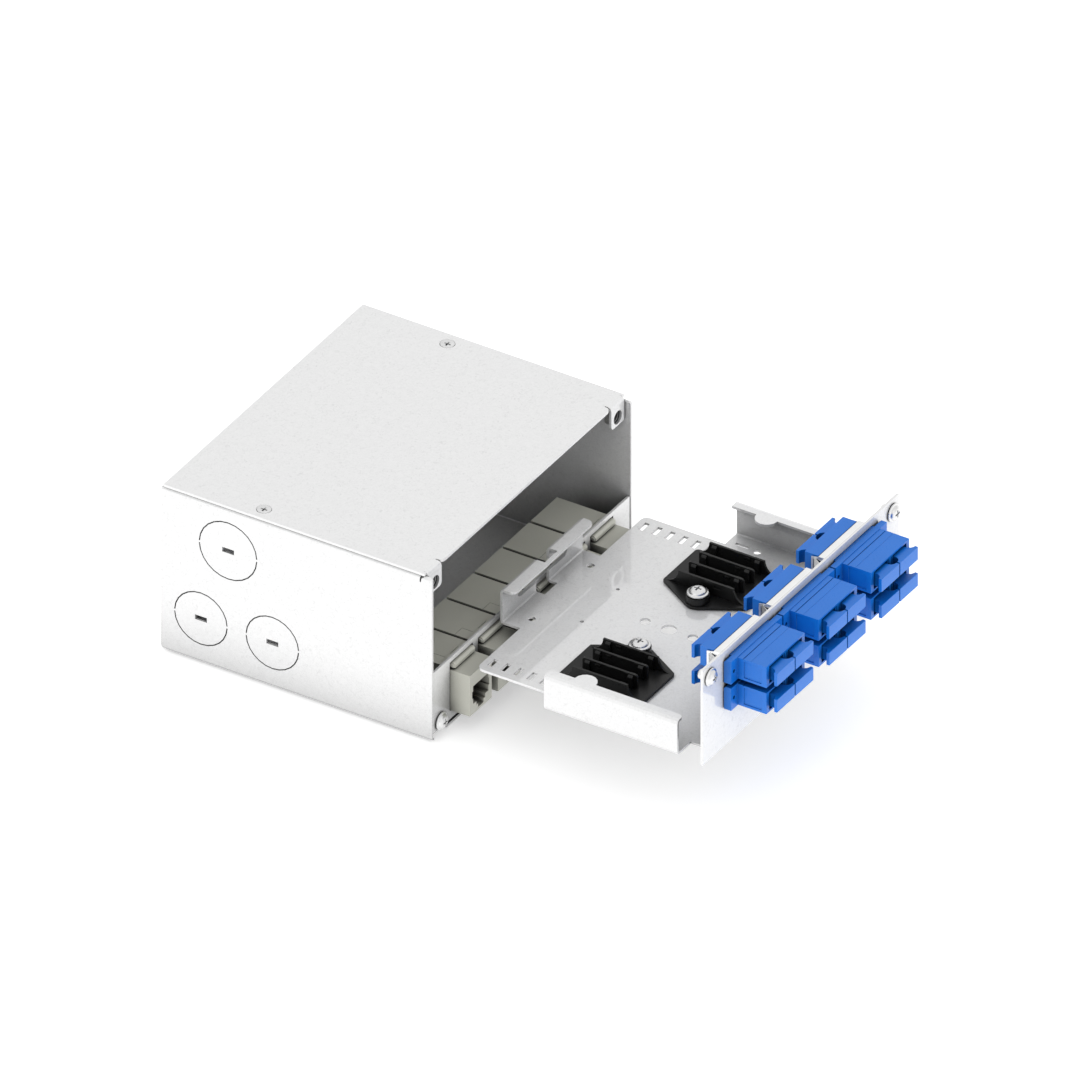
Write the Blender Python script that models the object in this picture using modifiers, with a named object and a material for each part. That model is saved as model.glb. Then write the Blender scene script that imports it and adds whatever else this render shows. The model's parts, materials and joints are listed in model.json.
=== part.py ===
"""Fiber termination box: a sheet-steel housing with six jacks, and a sliding tray with six duplex adapters.

Lengths are in millimetres and the mesh helpers turn them into metres. X runs across the box, +Y to its back
and +Z up. The origin is the centre of the housing's underside. The tray is drawn right out along -Y.
"""

import math

import bmesh
import bpy
from mathutils import Matrix, Vector

MM = 0.001
SHEET = 1.0
GAP = 0.3
WELD = 0.0001 * MM
# How far cutters run past the surfaces they cut
PAST = 1.0

# Housing
HOUSING_W = 136.0
HOUSING_D = 113.8
WALL_TOP = 69.7
COVER_TOP = 71.0
LIP_W = 8.0
FRONT = -HOUSING_D / 2
BACK = HOUSING_D / 2
INNER_X = HOUSING_W / 2 - SHEET
BEND = 1.0
LIP_SETBACK = 5.0
WALL_CORNER_R = 1.5
REAR_CORNER_R = 2.5
COVER_INSET = 0.2
FLANGE_ROOT = 10.0
# The bend relief in each wall's top front corner: (distance behind the front edge, height)
RELIEF = ((2.9, 71.0), (4.2, 71.0), (5.1, 69.2), (5.2, 67.2), (4.6, 67.2), (4.5, 68.6), (3.6, 69.4))

# Fixing tabs at the four front corners, and the screws that go into them
TAB_X = (57.65, 66.4)
TAB_ROOT = 8.0
TAB_CORNER_R = 1.5
SCREW_X = 62.0
UPPER_SCREW_Z = 64.6
LOWER_SCREW_Z = 5.9
TAB_HOLE_R = 2.75
UPPER_TAB_SETBACK = 2.3
UPPER_TAB_BOTTOM = 61.2
LOWER_TAB_SETBACK = 1.5
LOWER_TAB_TOP = 10.0
COVER_SCREW = (62.3, 74.0)
COVER_SCREW_SINK = 0.1
LIP_HOLE_R = 1.9
COUNTERSINK_R = (1.75, 3.3)
# The cover's front edge beside each tab: clearance, depth of the notch, tab's shoulder, and ear outside it
NOTCH_CLEARANCE = 0.45
NOTCH_DEPTH = 2.7
NOTCH_R = 2.0
SHOULDER_DEPTH = 2.0
EAR_DEPTH = 0.9

# Knockouts in the left wall: (distance behind the front edge, height, diameter)
KNOCKOUTS = ((85.6, 52.0, 24.6), (97.0, 18.9, 22.5), (67.0, 19.0, 22.5))
KNOCKOUT_SLIT = 0.5
KNOCKOUT_BRIDGE_DEG = 4.0
PRY_SLOT = (5.0, 2.0)

# Lower panel and jacks
PANEL_HALF_W = 66.7
LOWER_PANEL_Y = FRONT + 0.2
LOWER_PANEL_Z = (2.6, 28.7)
JACK_PITCH = 19.08
JACK_COUNT = 6
JACK_FACE_Z = (6.3, 23.7)
JACK_FACE_W = 14.8
JACK_FACE_Y = (-8.2, 5.0)
JACK_BODY_W = 17.8
JACK_BODY_Z = (4.2, 25.6)
JACK_BODY_Y = (1.3, 24.3)
LATCH_Z = (24.0, 26.4)
SOCKET_HALF_W = 5.2
SOCKET_Z = (10.6, 18.2)
SOCKET_DEPTH = 15.0
WINDOW_CLEARANCE = 0.4
# Wire slots in the back of a jack: the foot of each row, and each slot's width, height and depth
WIRE_SLOT_ROWS = (8.0, 17.0)
WIRE_SLOT_COUNT = 4
WIRE_SLOT_PITCH = 3.6
WIRE_SLOT = (1.2, 5.0, 5.0)

# Sliding tray, measured from the front face of its panel
TRAY_TRAVEL = 113.9
TRAY_Y = FRONT + 1.0 - TRAY_TRAVEL
TRAY_Z = 29.0
FLOOR_TOP = TRAY_Z + SHEET
TRAY_PANEL_TOP = 69.7
TRAY_PANEL_HALF_W = 66.6
TRAY_HALF_W = 57.0
TRAY_WIDE_HALF_W = 66.0
TRAY_WIDE_Y = (11.1, 67.1)
TRAY_REAR = 101.0
SIDE_TOP = 43.8
SIDE_LIP = 4.4
TONGUE_HALF_W = 27.2
TONGUE_REAR = 109.5
TONGUE_LIP_FRONT = 103.4
WINDOW_HALF_W = 4.3
WINDOW_FRONT = 104.9
TONGUE_SLOT_HALF_W = 17.0
TONGUE_SLOT_Z = 36.5
TONGUE_SLOT_R = 2.5
TONGUE_CORNER_R = 2.5
SIDE_LIP_CORNER_R = 2.0
# Half circles on the side walls' lips, which keep the fibres down: (distance behind the panel, radius)
KEEPER = (52.4, 4.4)
TIE_SLOT = (51.3, 97.6)
TIE_SLOT_SIZE = (5.0, 1.9)
TIE_SLOT_PITCH = 5.45
TIE_SLOT_COUNT = 6
# Holes in the floor and at the tongue's root: (distance across, distance behind the panel, radius, facets)
MIDDLE_HOLES = ((0.0, 65.4, 2.0, 12), (0.0, 55.4, 3.0, 12), (0.0, 45.4, 2.0, 12))
SIDE_HOLES = ((12.2, 84.4, 0.75, 8), (58.8, 54.6, 1.6, 10))
TONGUE_HOLE = (20.0, 100.7, 1.5, 10)
LONG_SLOT_X = (58.6, 60.8)
LONG_SLOT_Y = (58.55, 64.05)

# Splice holders
HOLDER_SCREW = (19.7, 55.5)
HOLDER_X = (24.6, 47.6)
HOLDER_HALF_LENGTH = 17.6
HOLDER_TIP_X = 14.2
HOLDER_BASE = 1.0
HOLDER_CORNERS = (0.6, 1.5, 1.5, 0.6, 4.9)
HOLDER_BORE_R = 1.8
BOSS_R = 4.3
BOSS_H = 2.8
FIN_TOP = 36.8
FIN_COUNT = 4
FIN_THICKNESS = 0.9
FIN_HALF_LENGTH = 11.5
HOOK_Y = 9.0
HOOK_REACH = 0.6
HOOK_HALF_LENGTH = 1.0
# How deep fins and hooks sink into what they stand on
ROOT = 0.5

# Adapters and their dust caps
COLUMN_PITCH = 35.5
ROW_Z = (50.6, 61.9)
FLANGE = (17.4, 4.8)
FLANGE_DEPTH = 3.4
ADAPTER_FRONT = -15.5
ADAPTER_REAR = 12.3
ADAPTER_HALF = (13.0, 4.5)
BODY_REAR = 0.6
WAIST_REAR = 8.0
WAIST_HALF_H = 3.6
REAR_BLOCK_Y = 6.6
REAR_STEP = 0.4
WEB_Y = (-3.2, 0.0)
EAR_X = 15.4
EAR_HOLE_R = 0.75
SIDE_RECESS_Y = (-13.2, -6.0)
SIDE_RECESS_Z = (-3.4, 3.6)
SIDE_RECESS_DEPTH = 0.4
GROOVE_Y = (-5.9, -5.5)
GROOVE_DEPTH = 0.3
PORT_PITCH = 12.7
PORT_HALF = (4.7, 3.7)
REAR_PORT_STEP = 0.8
SLEEVE_BORE_R = 1.9
CAP_PLATE = (6.05, 2.75)
CAP_NOTCH_R = 2.4
CAP_PLATE_DEPTH = 1.3
CAP_OVERHANG = 4.1
CAP_LENGTH = 10.0
CAP_BORE_HALF = 1.9
CAP_BORE_DEPTH = 5.0

# The adapters' spring clips
CLIP_SHEET = 0.4
CLIP_FOOT = -3.4
CLIP_UNDER = 3.9
CLIP_REAR = 6.2
WING_SPREAD = 2.4
WING_Z = (-2.6, 3.2)

# Screws
SHANK_R = 1.9
SHANK_POINT = 0.6
DRAWER_SHANK = 4.7
PAN_HEAD_R = 3.5
PAN_HEAD_H = 2.2
PANEL_SHANK = 6.0
HOLDER_SHANK_R = 1.5
HOLDER_HEAD_R = 4.0
NUT_R = 3.6
NUT_CLEARANCE = 0.35
NUT_H = 2.2


def clear_scene():
    for obj in list(bpy.data.objects):
        bpy.data.objects.remove(obj, do_unlink=True)


def collection(name, parent):
    made = bpy.data.collections.new(name)
    parent.children.link(made)
    return made


def finish(name, colour, roughness, metallic=0.0):
    """A Principled material."""
    made = bpy.data.materials.new(name)
    made.use_nodes = True
    shader = made.node_tree.nodes["Principled BSDF"]
    shader.inputs["Base Color"].default_value = (*colour, 1.0)
    shader.inputs["Roughness"].default_value = roughness
    shader.inputs["Metallic"].default_value = metallic
    return made


# ---- solids --------------------------------------------------------------------------------------


def solid(name, bm):
    """The mesh in bm, drawn in millimetres, as an object in metres among the tools."""
    bm.transform(Matrix.Scale(MM, 4))
    mesh = bpy.data.meshes.new(name)
    bm.to_mesh(mesh)
    bm.free()
    obj = bpy.data.objects.new(name, mesh)
    TOOLS.objects.link(obj)
    obj.hide_render = True
    obj.display_type = "WIRE"
    return obj


def box(low, high, name="box"):
    low, high = Vector(low), Vector(high)
    bm = bmesh.new()
    bmesh.ops.create_cube(bm, size=1.0)
    size = high - low
    bm.transform(Matrix.Translation((low + high) / 2) @ Matrix.Diagonal((*size, 1.0)))
    return solid(name, bm)


# What turns a drawing plane's (across, up, out) into (X, Y, Z), by the axis that points out of the plane
PLANES = {
    "Z": Matrix.Identity(4),
    "Y": Matrix(((1, 0, 0, 0), (0, 0, -1, 0), (0, 1, 0, 0), (0, 0, 0, 1))),
    "X": Matrix(((0, 0, 1, 0), (1, 0, 0, 0), (0, 1, 0, 0), (0, 0, 0, 1))),
}


def plate(loops, axis, low, high, name="plate"):
    """A flat outline with holes, extruded along an axis. The first loop is the outer one."""
    curve = bpy.data.curves.new(name, "CURVE")
    curve.dimensions = "2D"
    curve.fill_mode = "BOTH"
    curve.extrude = (high - low) / 2
    for loop in loops:
        spline = curve.splines.new("POLY")
        spline.points.add(len(loop) - 1)
        for point, (across, up) in zip(spline.points, loop):
            point.co = (across, up, 0.0, 1.0)
        spline.use_cyclic_u = True
    outline = bpy.data.objects.new(name, curve)
    bpy.context.scene.collection.objects.link(outline)
    graph = bpy.context.evaluated_depsgraph_get()
    filled = bpy.data.meshes.new_from_object(outline.evaluated_get(graph))
    bm = bmesh.new()
    bm.from_mesh(filled)
    bpy.data.objects.remove(outline, do_unlink=True)
    bpy.data.meshes.remove(filled)
    bmesh.ops.remove_doubles(bm, verts=bm.verts, dist=0.0001)
    middle = (low + high) / 2
    along = -middle if axis == "Y" else middle
    bm.transform(PLANES[axis] @ Matrix.Translation((0.0, 0.0, along)))
    return solid(name, bm)


def cylinder(centre, radius, low, high, axis, segments=16, radius_high=None, name="cylinder"):
    """A round solid along an axis from low to high, its centre given in the other two coordinates."""
    bm = bmesh.new()
    bmesh.ops.create_cone(
        bm,
        cap_ends=True,
        segments=segments,
        radius1=radius,
        radius2=radius if radius_high is None else radius_high,
        depth=high - low,
        matrix=Matrix.Translation((0.0, 0.0, (low + high) / 2)),
    )
    turn = {
        "Z": Matrix.Translation((centre[0], centre[1], 0.0)),
        "Y": Matrix.Translation((centre[0], 0.0, centre[1])) @ Matrix.Rotation(-math.pi / 2, 4, "X"),
        "X": Matrix.Translation((0.0, centre[0], centre[1])) @ Matrix.Rotation(math.pi / 2, 4, "Y"),
    }
    bm.transform(turn[axis])
    return solid(name, bm)


def turned(profile, steps, name="turned"):
    """A profile of (radius, height) points, from the top of the axis to its foot, turned about Z."""
    bm = bmesh.new()
    points = [bm.verts.new((radius, 0.0, height)) for radius, height in profile]
    for first, second in zip(points, points[1:]):
        bm.edges.new((first, second))
    obj = solid(name, bm)
    screw = obj.modifiers.new("Screw", "SCREW")
    screw.steps = steps
    screw.render_steps = steps
    screw.use_merge_vertices = True
    screw.merge_threshold = 0.00001
    screw.use_smooth_shade = False
    return baked(obj)


# ---- outlines ------------------------------------------------------------------------------------


def rectangle(across, up):
    return [(across[0], up[0]), (across[1], up[0]), (across[1], up[1]), (across[0], up[1])]


def arc(centre, radius, start_deg, end_deg, steps):
    """Points on an arc, both ends included."""
    angles = [math.radians(start_deg + (end_deg - start_deg) * k / steps) for k in range(steps + 1)]
    return [(centre[0] + radius * math.cos(a), centre[1] + radius * math.sin(a)) for a in angles]


def circle(centre, radius, segments=16):
    return arc(centre, radius, 0.0, 360.0, segments)[:-1]


def rounded(points, radii, steps=3):
    """A closed outline with its convex or concave corners rounded, one radius a point."""
    outline = []
    for i, corner in enumerate(points):
        radius = radii[i]
        here = Vector(corner)
        if not radius:
            outline.append(tuple(here))
            continue
        before = (Vector(points[i - 1]) - here).normalized()
        after = (Vector(points[(i + 1) % len(points)]) - here).normalized()
        half = before.angle(after) / 2
        reach = radius / math.tan(half)
        centre = here + (before + after).normalized() * (radius / math.sin(half))
        start = here + before * reach - centre
        turn = start.angle_signed(here + after * reach - centre)
        for k in range(steps + 1):
            outline.append(tuple(centre + Matrix.Rotation(-turn * k / steps, 2) @ start))
    return outline


def folded(path, steps=2):
    """The outline of a bent sheet, seen end on, from the path that the middle of its thickness follows."""
    left, right = [], []

    def add(middle, normal):
        left.append(tuple(middle + normal * SHEET / 2))
        right.append(tuple(middle - normal * SHEET / 2))

    points = [Vector(p) for p in path]
    normals = []
    for first, second in zip(points, points[1:]):
        along = (second - first).normalized()
        normals.append(Vector((-along.y, along.x)))
    add(points[0], normals[0])
    for corner, before, after in zip(points[1:-1], normals, normals[1:]):
        turn = -before.angle_signed(after)
        side = math.copysign(1.0, turn)
        along = Vector((before.y, -before.x))
        reach = BEND * math.tan(abs(turn) / 2)
        centre = corner - along * reach + before * BEND * side
        for k in range(steps + 1):
            normal = Matrix.Rotation(turn * k / steps, 2) @ before
            add(centre - normal * BEND * side, normal)
    add(points[-1], normals[-1])
    return left + right[::-1]


def corner_offcut(corner, radius, sx, sy, steps=4):
    """The outline of what rounding takes off a corner that points towards (sx, sy)."""
    x, y = corner
    centre = (x - sx * radius, y - sy * radius)
    start = 90.0 if sy > 0 else 270.0
    end = 0.0 if sx > 0 else 180.0
    if sx > 0 and sy < 0:
        end = 360.0
    curve = arc(centre, radius, start, end, steps)
    past_x = x + sx * PAST
    past_y = y + sy * PAST
    return curve + [(past_x, y - sy * radius), (past_x, past_y), (x - sx * radius, past_y)]


# ---- joining, cutting and placing ----------------------------------------------------------------


def boolean(obj, operation, pieces):
    """Joins the pieces to the object or cuts them from it. They are its children, so they move with it."""
    group = collection(f"{obj.name}_{operation.lower()}", TOOLS)
    for piece in pieces:
        TOOLS.objects.unlink(piece)
        group.objects.link(piece)
        piece.parent = obj
    modifier = obj.modifiers.new(operation.title(), "BOOLEAN")
    modifier.operation = operation
    modifier.operand_type = "COLLECTION"
    modifier.collection = group
    modifier.solver = "EXACT"


def joined(obj, pieces):
    boolean(obj, "UNION", pieces)
    return obj


def cut(obj, cutters):
    boolean(obj, "DIFFERENCE", cutters)
    return obj


def baked(obj):
    """The object with its modifiers applied to its mesh."""
    graph = bpy.context.evaluated_depsgraph_get()
    mesh = bpy.data.meshes.new_from_object(obj.evaluated_get(graph))
    bm = bmesh.new()
    bm.from_mesh(mesh)
    bmesh.ops.remove_doubles(bm, verts=bm.verts, dist=WELD)
    bm.to_mesh(mesh)
    bm.free()
    obj.modifiers.clear()
    obj.data = mesh
    return obj


def make_part(obj, name, material, parent, place=(0.0, 0.0, 0.0), round_shape=False):
    """Turns a tool into one of the box's parts."""
    for owner in list(obj.users_collection):
        owner.objects.unlink(obj)
    PARTS.objects.link(obj)
    obj.name = name
    obj.hide_render = False
    obj.display_type = "TEXTURED"
    obj.data.materials.clear()
    obj.data.materials.append(material)
    obj.parent = parent
    obj.location = Vector(place) * MM
    if round_shape:
        obj.data.shade_smooth()
        obj.data.set_sharp_from_angle(angle=math.radians(35))
    return obj


def copies(prototype, places, material, parent, round_shape=False):
    """One part for each name in places, all sharing the prototype's mesh."""
    for name, place in places.items():
        copy = bpy.data.objects.new(name, prototype.data)
        TOOLS.objects.link(copy)
        make_part(copy, name, material, parent, place, round_shape)


def empty(name, place, parent=None):
    made = bpy.data.objects.new(name, None)
    PARTS.objects.link(made)
    made.parent = parent
    made.location = Vector(place) * MM
    return made


# ---- fasteners -----------------------------------------------------------------------------------


def cross_recess(top, reach, depth):
    """Two cutters that make a cross recess in a screw's head, pointing down."""
    half = reach * 0.2
    return [
        box((-reach, -half, top - depth), (reach, half, top + PAST)),
        box((-half, -reach, top - depth), (half, reach, top + PAST)),
    ]


def recessed(head, reach, depth):
    return baked(cut(head, cross_recess(0.0, reach, depth)))


def pan_screw(shank_length, shank_r=SHANK_R, head_r=PAN_HEAD_R):
    """A pan-head screw with its washer rim, its head's top at the origin and its shank down -Z."""
    rim = 0.7
    profile = [
        (0.0, 0.0),
        (1.5, -0.15),
        (head_r - rim - 0.2, -0.8),
        (head_r - rim, -1.5),
        (head_r, -1.6),
        (head_r, -PAN_HEAD_H),
        (shank_r, -PAN_HEAD_H),
        (shank_r, -PAN_HEAD_H - shank_length + SHANK_POINT),
        (shank_r - SHANK_POINT, -PAN_HEAD_H - shank_length),
        (0.0, -PAN_HEAD_H - shank_length),
    ]
    return recessed(turned(profile, 16, "pan_screw"), 1.5, 1.2)


def countersunk_screw():
    """A countersunk screw, its head's top at the origin and its shank down -Z."""
    profile = [(0.0, 0.0), (2.7, 0.0), (1.5, -1.2), (1.5, -7.0), (0.0, -7.0)]
    return recessed(turned(profile, 16, "countersunk_screw"), 1.3, 0.9)


def facing_front(screw):
    """Turns a screw that points down so that it points to the back of the box."""
    screw.data.transform(Matrix.Rotation(math.pi / 2, 4, "X"))
    return screw


def nut():
    """A round clinch nut, its front face at the origin and its axis along Y."""
    loops = [circle((0.0, 0.0), NUT_R), circle((0.0, 0.0), SHANK_R + NUT_CLEARANCE)]
    return plate(loops, "Y", 0.0, NUT_H, "nut")


def pair(name, x, y, z):
    """The places of a left and a right copy."""
    return {f"{name}_left": (-x, y, z), f"{name}_right": (x, y, z)}


# ---- housing -------------------------------------------------------------------------------------


def knockout_cutters():
    """The slits round each knockout disc, which stays on two bridges, and the slot to pry it out by."""
    cutters = []
    for along, height, diameter in KNOCKOUTS:
        centre = (FRONT + along, height)
        for start in (0.0, 180.0):
            first = start + KNOCKOUT_BRIDGE_DEG / 2
            last = start + 180.0 - KNOCKOUT_BRIDGE_DEG / 2
            outer = arc(centre, diameter / 2, first, last, 12)
            inner = arc(centre, diameter / 2 - KNOCKOUT_SLIT, last, first, 12)
            cutters.append(plate([outer + inner], "X", -HOUSING_W / 2 - PAST, -INNER_X + PAST))
        half_slot = (PRY_SLOT[0] / 2, PRY_SLOT[1] / 2)
        low = (-HOUSING_W / 2 - PAST, centre[0] - half_slot[0], height - half_slot[1])
        high = (-INNER_X + PAST, centre[0] + half_slot[0], height + half_slot[1])
        cutters.append(box(low, high))
    return cutters


def housing_body(material, parent):
    """The bottom and side walls with lips along their tops, one folded sheet."""
    middle_x = HOUSING_W / 2 - SHEET / 2
    lip_z = WALL_TOP - SHEET / 2
    lip_x = HOUSING_W / 2 - LIP_W
    path = [(lip_x, lip_z), (middle_x, lip_z), (middle_x, SHEET / 2)]
    path += [(-x, z) for x, z in reversed(path)]
    body = plate([folded(path, 3)], "Y", FRONT, BACK, "housing_body")

    tab_y = FRONT + LOWER_TAB_SETBACK + SHEET / 2
    tab_path = [(FRONT + TAB_ROOT, SHEET / 2), (tab_y, SHEET / 2), (tab_y, LOWER_TAB_TOP)]
    bottom_edge = TAB_X[0] - GAP
    relief = [(FRONT + y, z) for y, z in RELIEF]
    no_lip_x = INNER_X - GAP
    lip_foot = WALL_TOP - SHEET - BEND
    cutters = [
        box((-bottom_edge, FRONT - PAST, -PAST), (bottom_edge, FRONT + 0.5, SHEET + PAST)),
        plate([relief], "X", -HOUSING_W, HOUSING_W),
        box((-no_lip_x, FRONT - PAST, lip_foot), (no_lip_x, FRONT + LIP_SETBACK, COVER_TOP)),
        box((-no_lip_x, BACK - SHEET - GAP, lip_foot), (no_lip_x, BACK + PAST, COVER_TOP)),
    ]
    rear_bottom = corner_offcut((BACK, 0.0), REAR_CORNER_R, 1, -1)
    cutters.append(plate([rear_bottom], "X", -HOUSING_W, HOUSING_W))
    for height in (0.0, WALL_TOP):
        sy = 1 if height else -1
        for side in (-1, 1):
            wall = sorted((side * (HOUSING_W / 2 + PAST), side * (INNER_X - 0.4)))
            cutters.append(plate([corner_offcut((FRONT, height), WALL_CORNER_R, -1, sy)], "X", *wall))
    tabs = []
    for side in (-1, 1):
        tab_x = sorted((side * TAB_X[0], side * TAB_X[1]))
        slot_x = sorted((side * (TAB_X[0] - GAP), side * (TAB_X[1] + 0.1)))
        cutters.append(box((slot_x[0], FRONT - PAST, -PAST), (slot_x[1], FRONT + 4.5, SHEET + PAST)))
        tabs.append(plate([folded(tab_path)], "X", *tab_x))
        place = (side * COVER_SCREW[0], FRONT + COVER_SCREW[1])
        cutters.append(cylinder(place, LIP_HOLE_R, lip_foot - PAST, WALL_TOP + PAST, "Z", 12))
    cut(body, cutters)
    cut(body, knockout_cutters())
    joined(body, tabs)
    holes = []
    for side in (-1, 1):
        place = (side * SCREW_X, LOWER_SCREW_Z)
        holes.append(cylinder(place, TAB_HOLE_R, FRONT - PAST, tab_y + SHEET + PAST, "Y"))
    cut(body, holes)
    return make_part(body, "housing_body", material, parent)


def top_cover(material, parent):
    """The top, with its back flange and the two tabs bent down at its front."""
    half_w = HOUSING_W / 2 - COVER_INSET
    front = FRONT + UPPER_TAB_SETBACK
    notch_x = TAB_X[0] - NOTCH_CLEARANCE
    right = [
        (notch_x, front),
        (notch_x, front + NOTCH_DEPTH),
        (TAB_X[0], front + NOTCH_DEPTH),
        (TAB_X[0], front + SHOULDER_DEPTH),
        (TAB_X[1] + 0.1, front + SHOULDER_DEPTH),
        (TAB_X[1] + 0.1, front + EAR_DEPTH),
        (half_w, front + EAR_DEPTH),
        (half_w, BACK),
    ]
    right_radii = [NOTCH_R, 0, 0, 0, 0, 0, 0, WALL_CORNER_R]
    left = [(-x, y) for x, y in reversed(right)]
    outline = rounded(right + left, right_radii + right_radii[::-1])
    under = COVER_TOP - SHEET
    cover = plate([outline], "Z", under, COVER_TOP, "top_cover")

    sheet_z = COVER_TOP - SHEET / 2
    flange_y = BACK - SHEET / 2
    flange_path = [(BACK - FLANGE_ROOT, sheet_z), (flange_y, sheet_z), (flange_y, SHEET + GAP)]
    tab_y = front + SHEET / 2
    tab_path = [(front + TAB_ROOT, sheet_z), (tab_y, sheet_z), (tab_y, UPPER_TAB_BOTTOM)]
    half_flange = INNER_X - GAP
    pieces = [plate([folded(flange_path)], "X", -half_flange, half_flange)]
    cutters = []
    tab_rear = front + SHEET + PAST
    for side in (-1, 1):
        pieces.append(plate([folded(tab_path)], "X", *sorted((side * TAB_X[0], side * TAB_X[1]))))
        corner = corner_offcut((side * TAB_X[0], UPPER_TAB_BOTTOM), TAB_CORNER_R, -side, -1)
        cutters.append(plate([corner], "Y", front - PAST, tab_rear))
        cutters.append(cylinder((side * SCREW_X, UPPER_SCREW_Z), TAB_HOLE_R, front - PAST, tab_rear, "Y"))
        place = (side * COVER_SCREW[0], FRONT + COVER_SCREW[1])
        low_r, high_r = COUNTERSINK_R
        cutters.append(cylinder(place, low_r, under - 0.25, COVER_TOP + 0.25, "Z", 16, high_r))
    # The outer radius at the back bends down with the flange.
    back_edge = corner_offcut((BACK, COVER_TOP), WALL_CORNER_R, 1, 1)
    cutters.append(plate([back_edge], "X", -HOUSING_W, HOUSING_W))
    joined(cover, pieces)
    cut(cover, cutters)
    return make_part(cover, "top_cover", material, parent)


def jack_centres():
    return [(k - (JACK_COUNT - 1) / 2) * JACK_PITCH for k in range(JACK_COUNT)]


def lower_panel(material, parent):
    """The flat plate that holds the jacks, screwed to the housing's lower tabs."""
    loops = [rectangle((-PANEL_HALF_W, PANEL_HALF_W), LOWER_PANEL_Z)]
    window_w = JACK_FACE_W / 2 + WINDOW_CLEARANCE
    window_z = (JACK_FACE_Z[0] - GAP, LATCH_Z[1] + WINDOW_CLEARANCE)
    for x in jack_centres():
        loops.append(rectangle((x - window_w, x + window_w), window_z))
    for side in (-1, 1):
        loops.append(circle((side * SCREW_X, LOWER_SCREW_Z), SHANK_R + GAP))
    panel = plate(loops, "Y", LOWER_PANEL_Y, LOWER_PANEL_Y + SHEET, "lower_panel")
    return make_part(panel, "lower_panel", material, parent)


def socket_outline():
    """The stepped outline of the jack's socket, with the plug latch's keyway at the bottom."""
    right = [
        (1.8, 7.4),
        (1.8, 9.0),
        (3.0, 9.0),
        (3.0, SOCKET_Z[0]),
        (SOCKET_HALF_W, SOCKET_Z[0]),
        (SOCKET_HALF_W, 13.0),
        (SOCKET_HALF_W + 0.6, 13.0),
        (SOCKET_HALF_W + 0.6, 16.0),
        (SOCKET_HALF_W, 16.0),
        (SOCKET_HALF_W, SOCKET_Z[1]),
    ]
    return right + [(-x, z) for x, z in reversed(right)]


def jack_shape():
    """A keystone jack: its body behind the panel, its face through the window, and the latch above."""
    low, high = zip((-JACK_BODY_W / 2, JACK_BODY_W / 2), JACK_BODY_Y, JACK_BODY_Z)
    body = box(low, high, "jack")
    half = JACK_FACE_W / 2
    low, high = zip((-half, half), JACK_FACE_Y, JACK_FACE_Z)
    face = box(low, high)
    latch_profile = [
        (-1.6, LATCH_Z[0] + 0.4),
        (-1.6, LATCH_Z[1] - 0.9),
        (-0.7, LATCH_Z[1]),
        (3.0, LATCH_Z[1] - 0.9),
        (3.0, LATCH_Z[0]),
        (-1.2, LATCH_Z[0]),
    ]
    latch = plate([latch_profile], "X", -half + 0.4, half - 0.4)
    joined(body, [face, latch])
    socket_y = (JACK_FACE_Y[0] - PAST, JACK_FACE_Y[0] + SOCKET_DEPTH)
    cutters = [plate([socket_outline()], "Y", *socket_y)]
    width, height, depth = WIRE_SLOT
    back = JACK_BODY_Y[1]
    for row in WIRE_SLOT_ROWS:
        for k in range(WIRE_SLOT_COUNT):
            x = (k - (WIRE_SLOT_COUNT - 1) / 2) * WIRE_SLOT_PITCH
            low = (x - width / 2, back - depth, row)
            high = (x + width / 2, back + PAST, row + height)
            cutters.append(box(low, high))
    return baked(cut(body, cutters))


def make_housing(root, steel, grey, zinc):
    housing_body(steel, root)
    top_cover(steel, root)
    lower_panel(steel, root)
    places = {f"jack_{k + 1}": (x, LOWER_PANEL_Y, 0.0) for k, x in enumerate(jack_centres())}
    copies(jack_shape(), places, grey, root)

    place = pair("cover_screw", COVER_SCREW[0], FRONT + COVER_SCREW[1], COVER_TOP - COVER_SCREW_SINK)
    copies(countersunk_screw(), place, zinc, root, round_shape=True)
    place = pair("lower_panel_screw", SCREW_X, LOWER_PANEL_Y - GAP - PAN_HEAD_H, LOWER_SCREW_Z)
    copies(facing_front(pan_screw(PANEL_SHANK)), place, zinc, root, round_shape=True)
    behind_tab = FRONT + SHEET + GAP
    ring = nut()
    upper = pair("cover_nut", SCREW_X, behind_tab + UPPER_TAB_SETBACK, UPPER_SCREW_Z)
    lower = pair("base_nut", SCREW_X, behind_tab + LOWER_TAB_SETBACK, LOWER_SCREW_Z)
    copies(ring, {**upper, **lower}, zinc, root, round_shape=True)


# ---- sliding tray --------------------------------------------------------------------------------


def adapter_centres():
    """(column, row) places of the six adapters, the top row last."""
    return [(column * COLUMN_PITCH, z) for z in ROW_Z for column in (-1, 0, 1)]


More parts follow.
